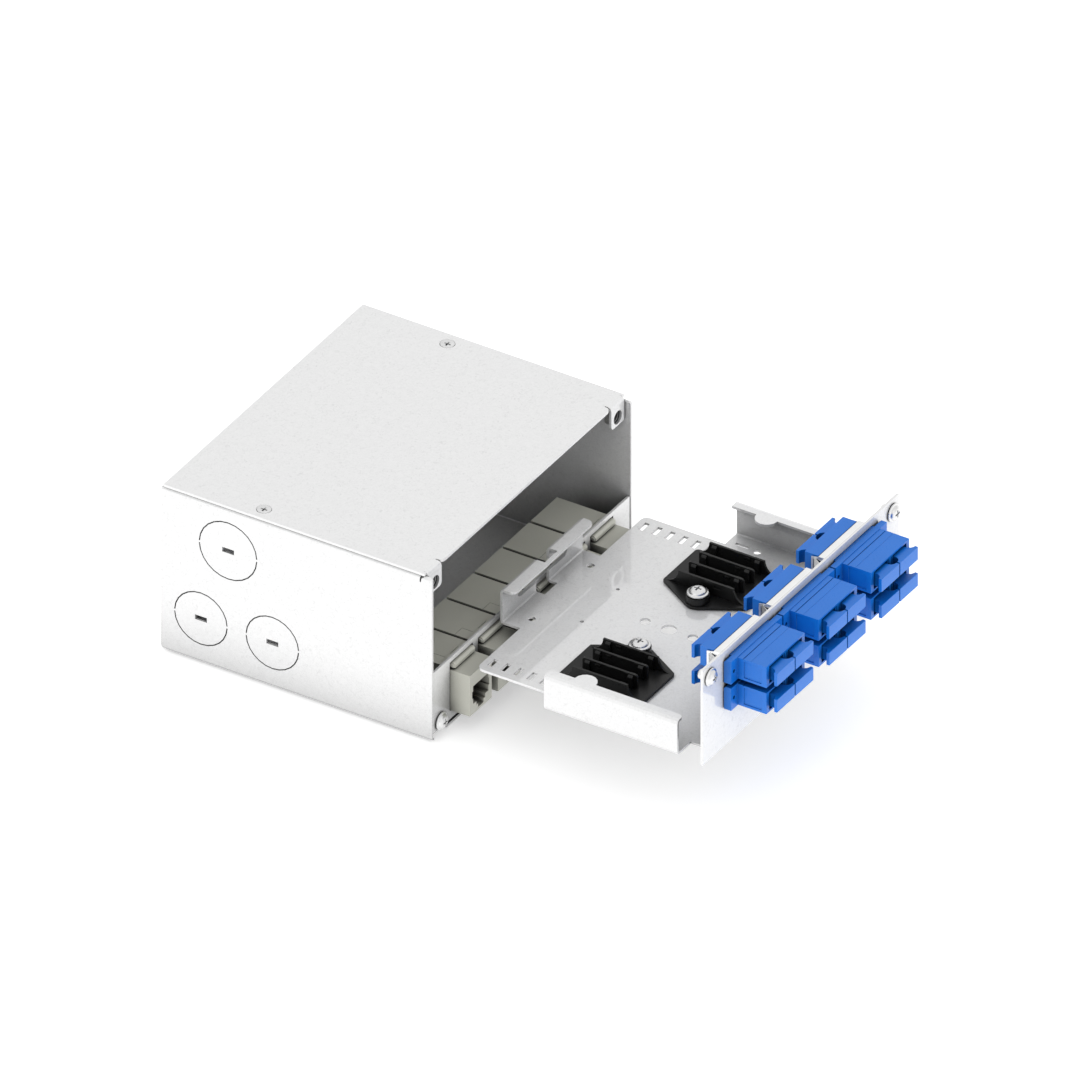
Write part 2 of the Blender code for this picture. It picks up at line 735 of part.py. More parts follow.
def tray_floor():
    """The floor: narrow at its ends, wide between the side walls, with its holes and tie slots."""
    right = [
        (TRAY_HALF_W, SHEET / 2),
        (TRAY_HALF_W, TRAY_WIDE_Y[0]),
        (TRAY_WIDE_HALF_W - 2.0, TRAY_WIDE_Y[0]),
        (TRAY_WIDE_HALF_W - 2.0, TRAY_WIDE_Y[1]),
        (TRAY_HALF_W, TRAY_WIDE_Y[1]),
        (TRAY_HALF_W, TRAY_REAR),
        (TONGUE_HALF_W, TRAY_REAR),
        (TONGUE_HALF_W, TRAY_REAR + 3.0),
    ]
    radii = [0, 0, 0, 0, 0, TONGUE_CORNER_R, 0, 0]
    outline = rounded(right + [(-x, y) for x, y in reversed(right)], radii + radii[::-1])
    loops = [outline]
    for x, y, radius, facets in MIDDLE_HOLES:
        loops.append(circle((x, y), radius, facets))
    half_slot = (TIE_SLOT_SIZE[0] / 2, TIE_SLOT_SIZE[1] / 2)
    for side in (-1, 1):
        for x, y, radius, facets in (*SIDE_HOLES, (*HOLDER_SCREW, HOLDER_BORE_R, 10)):
            loops.append(circle((side * x, y), radius, facets))
        loops.append(rectangle(sorted((side * LONG_SLOT_X[0], side * LONG_SLOT_X[1])), LONG_SLOT_Y))
        x = side * TIE_SLOT[0]
        for k in range(TIE_SLOT_COUNT):
            y = TIE_SLOT[1] - k * TIE_SLOT_PITCH
            across = (x - half_slot[0], x + half_slot[0])
            loops.append(rectangle(across, (y - half_slot[1], y + half_slot[1])))
    return plate(loops, "Z", TRAY_Z, FLOOR_TOP, "sliding_tray")


def tray_panel():
    """The front panel, with a window for each adapter."""
    loops = [rectangle((-TRAY_PANEL_HALF_W, TRAY_PANEL_HALF_W), (TRAY_Z, TRAY_PANEL_TOP))]
    for x, z in adapter_centres():
        half = (ADAPTER_HALF[0] + GAP, ADAPTER_HALF[1] + GAP)
        loops.append(rectangle((x - half[0], x + half[0]), (z - half[1], z + half[1])))
    for side in (-1, 1):
        loops.append(circle((side * SCREW_X, UPPER_SCREW_Z), SHANK_R + GAP))
    return plate(loops, "Y", 0.0, SHEET)


def tray_sides():
    """Both side walls, each with a lip along its top and a fibre keeper on the lip."""
    sheet = SHEET / 2
    pieces = []
    for side in (-1, 1):
        wall_x = side * (TRAY_WIDE_HALF_W - sheet)
        path = [
            (side * (TRAY_WIDE_HALF_W - SIDE_LIP), SIDE_TOP - sheet),
            (wall_x, SIDE_TOP - sheet),
            (wall_x, TRAY_Z + sheet),
            (side * (TRAY_HALF_W + 3.0), TRAY_Z + sheet),
        ]
        pieces.append(plate([folded(path)], "Y", *TRAY_WIDE_Y))
        root_x = side * (TRAY_WIDE_HALF_W - SIDE_LIP)
        middle, radius = KEEPER
        keeper = arc((root_x, middle), radius, 90.0, 90.0 + side * 180.0, 8)
        keeper += [(root_x + side * 2.0, middle - radius), (root_x + side * 2.0, middle + radius)]
        pieces.append(plate([keeper], "Z", SIDE_TOP - SHEET, SIDE_TOP))
    return pieces


def sliding_tray(material, parent):
    """The tray: panel, floor, side walls and rear tongue, one folded sheet."""
    tray = tray_floor()
    sheet = SHEET / 2
    rear_y = TONGUE_REAR - sheet
    path = [
        (TRAY_REAR - 4.0, TRAY_Z + sheet),
        (rear_y, TRAY_Z + sheet),
        (rear_y, SIDE_TOP - sheet),
        (TONGUE_LIP_FRONT, SIDE_TOP - sheet),
    ]
    tongue = plate([folded(path)], "X", -TONGUE_HALF_W, TONGUE_HALF_W)
    joined(tray, [tray_panel(), tongue, *tray_sides()])
    slot_end = TONGUE_SLOT_HALF_W - TONGUE_SLOT_R
    slot = arc((slot_end, TONGUE_SLOT_Z), TONGUE_SLOT_R, -90.0, 90.0, 6)
    slot += arc((-slot_end, TONGUE_SLOT_Z), TONGUE_SLOT_R, 90.0, 270.0, 6)
    window_low = (-WINDOW_HALF_W, WINDOW_FRONT, TRAY_Z - PAST)
    window_high = (WINDOW_HALF_W, TONGUE_REAR + PAST, SIDE_TOP + PAST)
    cutters = [
        box(window_low, window_high),
        plate([slot], "Y", TONGUE_REAR - SHEET - 0.4, TONGUE_REAR + PAST),
    ]
    lip_z = (SIDE_TOP - SHEET - 0.2, SIDE_TOP + PAST)
    x, y, radius, facets = TONGUE_HOLE
    for side in (-1, 1):
        cutters.append(cylinder((side * x, y), radius, TRAY_Z - PAST, FLOOR_TOP + PAST, "Z", facets))
        corner = (side * TONGUE_HALF_W, TONGUE_LIP_FRONT)
        cutters.append(plate([corner_offcut(corner, TONGUE_CORNER_R, side, -1)], "Z", *lip_z))
        corner = (side * (TRAY_WIDE_HALF_W - SIDE_LIP), TRAY_WIDE_Y[0])
        cutters.append(plate([corner_offcut(corner, SIDE_LIP_CORNER_R, -side, -1)], "Z", *lip_z))
    cut(tray, cutters)
    return make_part(tray, "sliding_tray", material, parent)


def splice_holder_shape():
    """A splice holder: a base that narrows to its screw boss, and fins with the splices between them."""
    base_z = FLOOR_TOP + GAP
    base_top = base_z + HOLDER_BASE
    x0, x1 = HOLDER_X
    half = HOLDER_HALF_LENGTH
    outline = [
        (x0, -half),
        (x1, -half),
        (x1, half),
        (x0, half),
        (HOLDER_TIP_X, 0.0),
    ]
    base = plate([rounded(outline, HOLDER_CORNERS, 4)], "Z", base_z, base_top, "splice_holder")
    screw = (HOLDER_SCREW[0], 0.0)
    pieces = [cylinder(screw, BOSS_R, base_z, base_top + BOSS_H, "Z", 16)]
    foot = base_top - ROOT
    scallop = FIN_TOP - base_top
    outer_fin = arc((FIN_HALF_LENGTH + scallop, FIN_TOP), scallop, 180.0, 270.0, 5)
    outer_fin += [(FIN_HALF_LENGTH + scallop, foot), (-FIN_HALF_LENGTH - scallop, foot)]
    outer_fin += arc((-FIN_HALF_LENGTH - scallop, FIN_TOP), scallop, 270.0, 360.0, 5)
    inner_fin = rectangle((-FIN_HALF_LENGTH, FIN_HALF_LENGTH), (foot, FIN_TOP))
    pitch = (x1 - x0 - 2.0) / (FIN_COUNT - 1)
    for k in range(FIN_COUNT):
        x = x0 + 1.0 + k * pitch
        profile = outer_fin if k in (0, FIN_COUNT - 1) else inner_fin
        pieces.append(plate([profile], "X", x - FIN_THICKNESS / 2, x + FIN_THICKNESS / 2))
        if k == FIN_COUNT - 1:
            continue
        for y in (-HOOK_Y, HOOK_Y):
            low = (x + FIN_THICKNESS / 2 - 0.2, y - HOOK_HALF_LENGTH, foot)
            high = (x + FIN_THICKNESS / 2 + HOOK_REACH, y + HOOK_HALF_LENGTH, FIN_TOP - 1.0)
            pieces.append(box(low, high))
    joined(base, pieces)
    bore = cylinder(screw, HOLDER_BORE_R, base_z - PAST, base_top + BOSS_H + PAST, "Z", 10)
    return baked(cut(base, [bore]))


def make_tray(tray, steel, black, zinc):
    sliding_tray(steel, tray)
    holder = splice_holder_shape()
    for name, turn in (("splice_holder_right", 0.0), ("splice_holder_left", math.pi)):
        part = bpy.data.objects.new(name, holder.data)
        TOOLS.objects.link(part)
        make_part(part, name, black, tray, (0.0, HOLDER_SCREW[1], 0.0))
        part.rotation_euler.z = turn

    boss_top = FLOOR_TOP + GAP + HOLDER_BASE + BOSS_H
    place = pair("holder_screw", HOLDER_SCREW[0], HOLDER_SCREW[1], boss_top + GAP + PAN_HEAD_H)
    screw = pan_screw(boss_top - TRAY_Z, HOLDER_SHANK_R, HOLDER_HEAD_R)
    copies(screw, place, zinc, tray, round_shape=True)
    place = pair("drawer_screw", SCREW_X, -GAP - PAN_HEAD_H, UPPER_SCREW_Z)
    copies(facing_front(pan_screw(DRAWER_SHANK)), place, zinc, tray, round_shape=True)


# ---- adapters ------------------------------------------------------------------------------------


def adapter_shape():
    """A duplex adapter about its own centre line: its flange on the panel, its body on both sides."""
    half_w, half_h = ADAPTER_HALF
    rear_half_h = half_h - REAR_STEP
    body = box((-half_w, ADAPTER_FRONT, -half_h), (half_w, BODY_REAR, half_h), "adapter")
    flange = box((-FLANGE[0], -FLANGE_DEPTH, -FLANGE[1]), (FLANGE[0], -GAP, FLANGE[1]))
    waist = box((-half_w, 0.0, -WAIST_HALF_H), (half_w, WAIST_REAR, WAIST_HALF_H))
    rear_block = box((-half_w, REAR_BLOCK_Y, -rear_half_h), (half_w, ADAPTER_REAR, rear_half_h))
    joined(body, [flange, waist, rear_block])
    cutters = []
    front_half_h = PORT_HALF[1]
    rear_port_half_h = PORT_HALF[1] - REAR_PORT_STEP
    rear = ADAPTER_REAR + PAST
    for port in (-1, 1):
        x = port * PORT_PITCH / 2
        low, high = x - PORT_HALF[0], x + PORT_HALF[0]
        cutters.append(box((low, ADAPTER_FRONT - PAST, -front_half_h), (high, WEB_Y[0], front_half_h)))
        cutters.append(box((low, WEB_Y[1], -rear_port_half_h), (high, rear, rear_port_half_h)))
        cutters.append(cylinder((x, 0.0), SLEEVE_BORE_R, WEB_Y[0] - PAST, WEB_Y[1] + PAST, "Y", 12))
    for side in (-1, 1):
        ear = (side * EAR_X, 0.0)
        cutters.append(cylinder(ear, EAR_HOLE_R, -FLANGE_DEPTH - PAST, 0.0, "Y", 8))
        recess_x = sorted((side * (half_w - SIDE_RECESS_DEPTH), side * (half_w + PAST)))
        low, high = zip(recess_x, SIDE_RECESS_Y, SIDE_RECESS_Z)
        cutters.append(box(low, high))
    groove_low = (-half_w - PAST, GROOVE_Y[0], half_h - GROOVE_DEPTH)
    groove_high = (half_w + PAST, GROOVE_Y[1], half_h + PAST)
    cutters.append(box(groove_low, groove_high))
    return baked(cut(body, cutters))


def clip_shape():
    """The adapter's spring clip: a strap over its waist whose two wings press on the back of the panel."""
    inner = ADAPTER_HALF[0] + GAP
    outer = inner + CLIP_SHEET
    front = SHEET + GAP
    strap = [(-outer, CLIP_FOOT), (-inner, CLIP_FOOT), (-inner, CLIP_UNDER), (inner, CLIP_UNDER)]
    strap += [(inner, CLIP_FOOT), (outer, CLIP_FOOT)]
    strap += [(outer, CLIP_UNDER + CLIP_SHEET), (-outer, CLIP_UNDER + CLIP_SHEET)]
    clip = plate([strap], "Y", front, CLIP_REAR, "clip")
    wings = []
    tip = outer + WING_SPREAD
    for side in (-1, 1):
        wing = [(inner, CLIP_REAR), (tip, front + 0.3), (tip, front), (tip - CLIP_SHEET, front)]
        wing.append((inner, 5.4))
        wing = [(side * x, y) for x, y in wing]
        wings.append(plate([wing], "Z", *WING_Z))
    return baked(joined(clip, wings))


def cap_shape():
    """A dust cap: a grip plate, finger notches behind it, and a plug for the port that points to +Y."""
    half_w, half_h = CAP_PLATE
    neck = half_w - CAP_NOTCH_R
    notch_end = CAP_PLATE_DEPTH + CAP_NOTCH_R
    right = [(half_w, 0.0), (half_w, CAP_PLATE_DEPTH)]
    right += arc((half_w, notch_end), CAP_NOTCH_R, 270.0, 180.0, 4)[1:]
    right += [(neck, CAP_LENGTH)]
    end = [(CAP_BORE_HALF, CAP_LENGTH), (CAP_BORE_HALF, CAP_LENGTH - CAP_BORE_DEPTH)]
    outline = right + end + [(-x, y) for x, y in reversed(right + end)]
    return plate([outline], "Z", -half_h, half_h, "dust_cap")


def numbered(name, spots, y):
    """Places at (x, z) spots for parts whose names are numbered from 1. Two-digit rows keep two digits."""
    digits = len(str(len(spots)))
    return {f"{name}_{k:0{digits}d}": (x, y, z) for k, (x, z) in enumerate(spots, 1)}


def make_adapters(tray, blue, spring_steel):
    centres = adapter_centres()
    copies(adapter_shape(), numbered("adapter", centres, 0.0), blue, tray)
    copies(clip_shape(), numbered("adapter_clip", centres, 0.0), spring_steel, tray)

    ports = [(x + port * PORT_PITCH / 2, z) for x, z in centres for port in (-1, 1)]
    front_y = ADAPTER_FRONT - CAP_OVERHANG
    rear_y = ADAPTER_REAR + CAP_OVERHANG
    copies(cap_shape(), numbered("front_dust_cap", ports, front_y), blue, tray)
    rear_cap = cap_shape()
    rear_cap.data.transform(Matrix.Rotation(math.pi, 4, "Z"))
    copies(rear_cap, numbered("rear_dust_cap", ports, rear_y), blue, tray)


def main():
    steel = finish("powder_coated_steel", (0.80, 0.80, 0.80), 0.45)
    blue = finish("blue_plastic", (0.03, 0.19, 0.72), 0.40)
    grey = finish("grey_plastic", (0.52, 0.52, 0.46), 0.50)
    black = finish("black_plastic", (0.012, 0.012, 0.012), 0.45)
    zinc = finish("zinc_plated_steel", (0.75, 0.75, 0.75), 0.28, 1.0)
    spring_steel = finish("spring_steel", (0.80, 0.80, 0.80), 0.25, 1.0)
    root = empty("fiber_termination_box_frame", (0.0, 0.0, 0.0))
    tray = empty("tray_slide", (0.0, TRAY_Y, 0.0), root)
    make_housing(root, steel, grey, zinc)
    make_tray(tray, steel, black, zinc)
    make_adapters(tray, blue, spring_steel)


clear_scene()
PARTS = collection("fiber_termination_box", bpy.context.scene.collection)
TOOLS = collection("cutters", bpy.context.scene.collection)
main()
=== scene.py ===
"""The looks of a fiber termination box: a powder-coated steel box and tray, grey jacks, blue adapters.

X runs across the box, +Y to its back and +Z up. Shapes are drawn in millimetres, each about its own origin,
and the mesh tools turn them into metres. A detailed piece goes where the CAD node that it replaces is: their
boxes' lowest corners meet. Lengths inside materials are in metres.
"""

import json
import math

import bmesh
import bpy
from mathutils import Matrix, Vector


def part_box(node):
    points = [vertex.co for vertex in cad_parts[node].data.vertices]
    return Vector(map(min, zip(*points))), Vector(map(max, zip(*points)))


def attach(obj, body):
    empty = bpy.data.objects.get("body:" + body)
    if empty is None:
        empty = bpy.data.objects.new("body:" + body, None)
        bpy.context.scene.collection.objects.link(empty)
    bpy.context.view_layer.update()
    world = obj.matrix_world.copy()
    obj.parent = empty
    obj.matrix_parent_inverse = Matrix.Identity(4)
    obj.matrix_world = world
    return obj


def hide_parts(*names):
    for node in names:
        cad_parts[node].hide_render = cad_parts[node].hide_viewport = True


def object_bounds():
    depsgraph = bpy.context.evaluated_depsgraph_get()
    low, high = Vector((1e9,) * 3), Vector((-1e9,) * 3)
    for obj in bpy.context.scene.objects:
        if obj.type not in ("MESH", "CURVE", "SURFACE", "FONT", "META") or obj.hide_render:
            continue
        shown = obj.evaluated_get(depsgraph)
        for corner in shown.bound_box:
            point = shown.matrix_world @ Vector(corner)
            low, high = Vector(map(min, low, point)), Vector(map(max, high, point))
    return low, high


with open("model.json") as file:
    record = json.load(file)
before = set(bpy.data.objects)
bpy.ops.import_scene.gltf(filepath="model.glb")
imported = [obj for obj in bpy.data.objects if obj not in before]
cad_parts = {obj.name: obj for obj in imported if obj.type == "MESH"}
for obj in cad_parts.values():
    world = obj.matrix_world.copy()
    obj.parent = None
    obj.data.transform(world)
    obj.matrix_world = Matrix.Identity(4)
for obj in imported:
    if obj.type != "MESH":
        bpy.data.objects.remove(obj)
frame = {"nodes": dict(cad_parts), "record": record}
CAD_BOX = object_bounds()

MM = 0.001


# ---- materials -----------------------------------------------------------------------------------


# Samples of the occlusion that paints shade into hollows
HOLLOW_SAMPLES = 12


class Finish:
    """A node material on one Principled shader, in object coordinates so that grain keeps its real size."""

    def __init__(self, name, roughness, metallic=0.0, ior=1.5):
        self.material = bpy.data.materials.new(name)
        self.material.use_nodes = True
        self.tree = self.material.node_tree
        self.shader = self.tree.nodes["Principled BSDF"]
        self.set("Roughness", roughness)
        self.set("Metallic", metallic)
        self.set("IOR", ior)
        self.place = self.tree.nodes.new("ShaderNodeTexCoord").outputs["Object"]

    def set(self, socket, value):
        self.shader.inputs[socket].default_value = value

    def link(self, output, target):
        self.tree.links.new(output, target)

    def noise(self, scale, detail=2.0, roughness=0.5, distortion=0.0, stretch=None):
        """Noise with about scale features to the metre, finer along an axis where stretch is over 1."""
        node = self.tree.nodes.new("ShaderNodeTexNoise")
        node.inputs["Scale"].default_value = scale
        node.inputs["Detail"].default_value = detail
        node.inputs["Roughness"].default_value = roughness
        node.inputs["Distortion"].default_value = distortion
        source = self.place
        if stretch:
            mapping = self.tree.nodes.new("ShaderNodeMapping")
            mapping.inputs["Scale"].default_value = stretch
            self.link(source, mapping.inputs["Vector"])
            source = mapping.outputs["Vector"]
        self.link(source, node.inputs["Vector"])
        return node.outputs["Fac"]

    def ramp(self, factor, stops):
        """A colour ramp through (position, colour) stops."""
        node = self.tree.nodes.new("ShaderNodeValToRGB")
        elements = node.color_ramp.elements
        while len(elements) < len(stops):
            elements.new(0.5)
        for element, (position, colour) in zip(elements, stops):
            element.position = position
            element.color = (*colour, 1.0)
        self.link(factor, node.inputs["Fac"])
        return node.outputs["Color"]

    def span(self, factor, low, high, start=0.0, end=1.0):
        """The factor's range from start to end, mapped from low to high."""
        node = self.tree.nodes.new("ShaderNodeMapRange")
        for socket, value in (("From Min", start), ("From Max", end), ("To Min", low), ("To Max", high)):
            node.inputs[socket].default_value = value
        self.link(factor, node.inputs["Value"])
        return node.outputs["Result"]

    def painted_hollow_shade(self, colour, reach, stops):
        """The colour times a ramp over how open the surface is within reach: painted shade, darker in hollows
        and between parts.
        """
        # Painted shade: ambient occlusion multiplies the base colour darker where little is open within reach
        hollow = self.tree.nodes.new("ShaderNodeAmbientOcclusion")
        hollow.samples = HOLLOW_SAMPLES
        hollow.inputs["Distance"].default_value = reach
        tone = self.ramp(hollow.outputs["AO"], stops)
        mix = self.tree.nodes.new("ShaderNodeMix")
        mix.data_type = "RGBA"
        mix.blend_type = "MULTIPLY"
        mix.inputs["Factor"].default_value = 1.0
        self.link(colour, mix.inputs["A"])
        self.link(tone, mix.inputs["B"])
        return mix.outputs["Result"]

    def bump(self, height, depth, strength):
        node = self.tree.nodes.new("ShaderNodeBump")
        node.inputs["Strength"].default_value = strength
        node.inputs["Distance"].default_value = depth
        self.link(height, node.inputs["Height"])
        return node.outputs["Normal"]

    def colour(self, output):
        self.link(output, self.shader.inputs["Base Color"])

    def roughness(self, output):
        self.link(output, self.shader.inputs["Roughness"])

    def normal(self, output):
        self.link(output, self.shader.inputs["Normal"])


def shade(value):
    """A neutral colour."""
    return (value, value, value)


def powder_coat():
    """White powder coat: worm-like orange peel under a glossy skin, with painted shade darkening its hollows.
    """
    coat = Finish("powder_coat", 0.42)
    flecks = coat.noise(scale=700.0, detail=3.0, roughness=0.55, distortion=1.4)
    cloud = coat.noise(scale=55.0, detail=3.0)
    tone = coat.ramp(flecks, [(0.28, shade(0.72)), (0.40, shade(0.81)), (0.60, shade(0.85))])
    # Painted shade: the coat darkens where little is open within reach, inside the box and along the tray's
    # walls
    openness = [(0.05, shade(0.05)), (0.40, shade(0.42)), (0.68, shade(1.0))]
    coat.colour(coat.painted_hollow_shade(tone, reach=0.06, stops=openness))
    coat.roughness(coat.span(cloud, low=0.36, high=0.50, start=0.3, end=0.7))
    coat.normal(coat.bump(flecks, depth=0.00006, strength=0.5))
    coat.set("Coat Weight", 1.0)
    coat.set("Coat IOR", 2.1)
    coat.set("Coat Roughness", 0.015)
    return coat.material


def moulded(name, colour, light, roughness, reach=0.008, closed=(0.15, 0.30), open_at=0.80, ior=1.5):
    """Moulded plastic with a spark-eroded grain, its tone drifting from colour to light.

    Painted shade: a spot whose openness within reach is closed[0] is darkened to closed[1], and one at
    open_at isn't darkened.
    """
    plastic = Finish(name, roughness, 0.0, ior)
    drift = plastic.noise(scale=38.0, detail=3.0)
    spark = plastic.noise(scale=2600.0, detail=2.0, roughness=0.6)
    tone = plastic.ramp(drift, [(0.35, colour), (0.65, light)])
    # Painted shade in hollows multiplies the drifting tone
    plastic.colour(plastic.painted_hollow_shade(tone, reach, [(closed[0], shade(closed[1])), (open_at, shade(1.0))]))
    plastic.roughness(plastic.span(spark, roughness - 0.05, roughness + 0.07, start=0.3, end=0.7))
    plastic.normal(plastic.bump(spark, depth=0.00003, strength=0.35))
    return plastic.material


def plated(name, colour, light, roughness, stretch=None, reach=0.0016):
    """Bright metal with faint drawing lines, its plating mottled from colour to light, with painted shade in
    its hollows and bores.
    """
    metal = Finish(name, roughness, metallic=1.0)
    lines = metal.noise(scale=900.0, detail=3.0, stretch=stretch)
    mottle = metal.noise(scale=160.0, detail=3.0)
    tone = metal.ramp(mottle, [(0.35, colour), (0.65, light)])
    # Painted shade: hollows within reach, such as the nuts' bores, go nearly black
    metal.colour(metal.painted_hollow_shade(tone, reach, [(0.30, shade(0.03)), (0.75, shade(1.0))]))
    metal.roughness(metal.span(lines, roughness - 0.03, roughness + 0.05, start=0.3, end=0.7))
    metal.normal(metal.bump(lines, depth=0.000004, strength=0.05))
    return metal.material


BLUE = ((0.003, 0.160, 0.640), (0.005, 0.175, 0.690))
GREY = ((0.520, 0.520, 0.460), (0.560, 0.560, 0.495))
BLACK = (shade(0.007), shade(0.010))
ZINC = (shade(0.76), shade(0.82))
DULL_ZINC = (shade(0.60), shade(0.66))
STEEL = (shade(0.92), shade(0.96))
GOLD = ((0.80, 0.58, 0.26), (0.88, 0.66, 0.32))
CERAMIC = ((0.78, 0.77, 0.72), (0.82, 0.81, 0.77))
ROLLED = (1.0, 12.0, 12.0)

# reach, closed and open_at set how far and how dark painted shade falls in each material's hollows
MATERIALS = {
    "powder_coat": powder_coat(),
    "adapter_blue": moulded("adapter_blue", *BLUE, roughness=0.32),
    "jack_grey": moulded("jack_grey", *GREY, roughness=0.42, reach=0.014, closed=(0.16, 0.03), open_at=0.68),
    "holder_black": moulded("holder_black", *BLACK, roughness=0.34, reach=0.003, ior=1.36),
    "zinc_plate": plated("zinc_plate", *ZINC, roughness=0.32),
    "zinc_nut": plated("zinc_nut", *DULL_ZINC, roughness=0.36, reach=0.006),
    "spring_steel": plated("spring_steel", *STEEL, roughness=0.34, stretch=ROLLED),
    "contact_gold": plated("contact_gold", *GOLD, roughness=0.22),
    "sleeve_ceramic": moulded("sleeve_ceramic", *CERAMIC, roughness=0.20),
}


# ---- mesh tools ----------------------------------------------------------------------------------


def solid(bm):
    """The mesh in bm, drawn in millimetres, as an object in metres."""
    bm.transform(Matrix.Scale(MM, 4))
    mesh = bpy.data.meshes.new("shape")
    bm.to_mesh(mesh)
    bm.free()
    obj = bpy.data.objects.new("shape", mesh)
    bpy.context.scene.collection.objects.link(obj)
    return obj


def box(low, high):
    """A block between two corners."""
    low, high = Vector(low), Vector(high)
    bm = bmesh.new()
    bmesh.ops.create_cube(bm, size=1.0)
    bm.transform(Matrix.Translation((low + high) / 2) @ Matrix.Diagonal((*(high - low), 1.0)))
    return solid(bm)


def block(x, y, z):
    """A block between two values on each axis."""
    return box((x[0], y[0], z[0]), (x[1], y[1], z[1]))


# What turns a drawing plane's (across, up, out) into (X, Y, Z), by the axis that points out of the plane
PLANES = {
    "Z": Matrix.Identity(4),
    "Y": Matrix(((1, 0, 0, 0), (0, 0, -1, 0), (0, 1, 0, 0), (0, 0, 0, 1))),
    "X": Matrix(((0, 0, 1, 0), (1, 0, 0, 0), (0, 1, 0, 0), (0, 0, 0, 1))),
}


def plate(outline, axis, low, high):
    """A flat outline extruded along an axis from low to high."""
    if axis == "Y":  # this plane's way out is -Y
        low, high = -high, -low
    bm = bmesh.new()
    rings = [[bm.verts.new((across, up, out)) for across, up in outline] for out in (low, high)]
    bm.faces.new(rings[0])
    bm.faces.new(rings[1])
    for k in range(len(outline)):
        after = (k + 1) % len(outline)
        bm.faces.new((rings[0][k], rings[0][after], rings[1][after], rings[1][k]))
    bm.transform(PLANES[axis])
    bmesh.ops.recalc_face_normals(bm, faces=bm.faces)
    return solid(bm)


def cylinder(centre, radius, low, high, axis, segments=28):
    """A round solid along Y or Z from low to high, its centre given in the other two coordinates."""
    bm = bmesh.new()
    bmesh.ops.create_cone(
        bm,
        cap_ends=True,
        segments=segments,
        radius1=radius,
        radius2=radius,
        depth=high - low,
        matrix=Matrix.Translation((0.0, 0.0, (low + high) / 2)),
    )
    if axis == "Z":
        bm.transform(Matrix.Translation((centre[0], centre[1], 0.0)))
    else:
        bm.transform(Matrix.Translation((centre[0], 0.0, centre[1])) @ Matrix.Rotation(-math.pi / 2, 4, "X"))
    return solid(bm)


TURN_STEPS = 40


def turned(profile):
    """A profile of (radius, height) points, from the top of the axis to its foot, turned about Z."""
    bm = bmesh.new()
    rings = []
    for radius, height in profile:
        if radius == 0.0:
            rings.append([bm.verts.new((0.0, 0.0, height))])
            continue
        angles = [2 * math.pi * k / TURN_STEPS for k in range(TURN_STEPS)]
        rings.append([bm.verts.new((radius * math.cos(a), radius * math.sin(a), height)) for a in angles])
    for upper, lower in zip(rings, rings[1:]):
        for k in range(TURN_STEPS):
            after = (k + 1) % TURN_STEPS
            corners = [upper[k % len(upper)], lower[k % len(lower)]]
            corners += [lower[after % len(lower)], upper[after % len(upper)]]
            bm.faces.new(list(dict.fromkeys(corners)))
    bmesh.ops.recalc_face_normals(bm, faces=bm.faces)
    return solid(bm)


def arc(centre, radius, start_deg, end_deg, steps):
    """Points on an arc, both ends included."""
    angles = [math.radians(start_deg + (end_deg - start_deg) * k / steps) for k in range(steps + 1)]
    return [(centre[0] + radius * math.cos(a), centre[1] + radius * math.sin(a)) for a in angles]


def rounded(points, radii, steps):
    """A closed outline with its corners rounded, one radius a point."""
    outline = []
    for i, corner in enumerate(points):
        here = Vector(corner)
        before = (Vector(points[i - 1]) - here).normalized()
        after = (Vector(points[(i + 1) % len(points)]) - here).normalized()
        half = before.angle(after) / 2
        centre = here + (before + after).normalized() * (radii[i] / math.sin(half))
        reach = radii[i] / math.tan(half)
        start = here + before * reach - centre
        turn = start.angle_signed(here + after * reach - centre)
        for k in range(steps + 1):
            outline.append(tuple(centre + Matrix.Rotation(-turn * k / steps, 2) @ start))
    return outline


def evaluated(obj):
    """The object with its modifiers applied."""
    graph = bpy.context.evaluated_depsgraph_get()
    mesh = bpy.data.meshes.new_from_object(obj.evaluated_get(graph))
    obj.modifiers.clear()
    obj.data = mesh
    return obj


def combined(obj, operation, pieces):
    """The object with the pieces joined to it or cut from it."""
    group = bpy.data.collections.new("operands")
    bpy.context.scene.collection.children.link(group)
    for piece in pieces:
        bpy.context.scene.collection.objects.unlink(piece)
        group.objects.link(piece)
    modifier = obj.modifiers.new("Boolean", "BOOLEAN")
    modifier.operation = operation
    modifier.operand_type = "COLLECTION"
    modifier.collection = group
    modifier.solver = "EXACT"
    evaluated(obj)
    for piece in pieces:
        bpy.data.objects.remove(piece)
    bpy.data.collections.remove(group)
    return obj


def joined(obj, pieces):
    return combined(obj, "UNION", pieces)


def cut(obj, cutters):
    return combined(obj, "DIFFERENCE", cutters)


WELD_DISTANCE = 0.000002
FLAT_ANGLE = 0.6


def soften(obj, width, segments=2, angle=28.0):
    """Rounds edges sharper than an angle in degrees, once close vertices and flat faces are merged."""
    weld = obj.modifiers.new("Weld", "WELD")
    weld.merge_threshold = WELD_DISTANCE
    flat = obj.modifiers.new("Flat", "DECIMATE")
    flat.decimate_type = "DISSOLVE"
    flat.angle_limit = math.radians(FLAT_ANGLE)
    bevel = obj.modifiers.new("Bevel", "BEVEL")
    bevel.width = width * MM
    bevel.segments = segments
    bevel.limit_method = "ANGLE"
    bevel.angle_limit = math.radians(angle)
    bevel.use_clamp_overlap = True
    for face in obj.data.polygons:
        face.use_smooth = True
    obj.modifiers.new("Normals", "WEIGHTED_NORMAL")


def lowest(obj):
    """The lowest corner of an object's box, in its own coordinates."""
    return Vector([min(vertex.co[axis] for vertex in obj.data.vertices) for axis in range(3)])


# ---- placing -------------------------------------------------------------------------------------

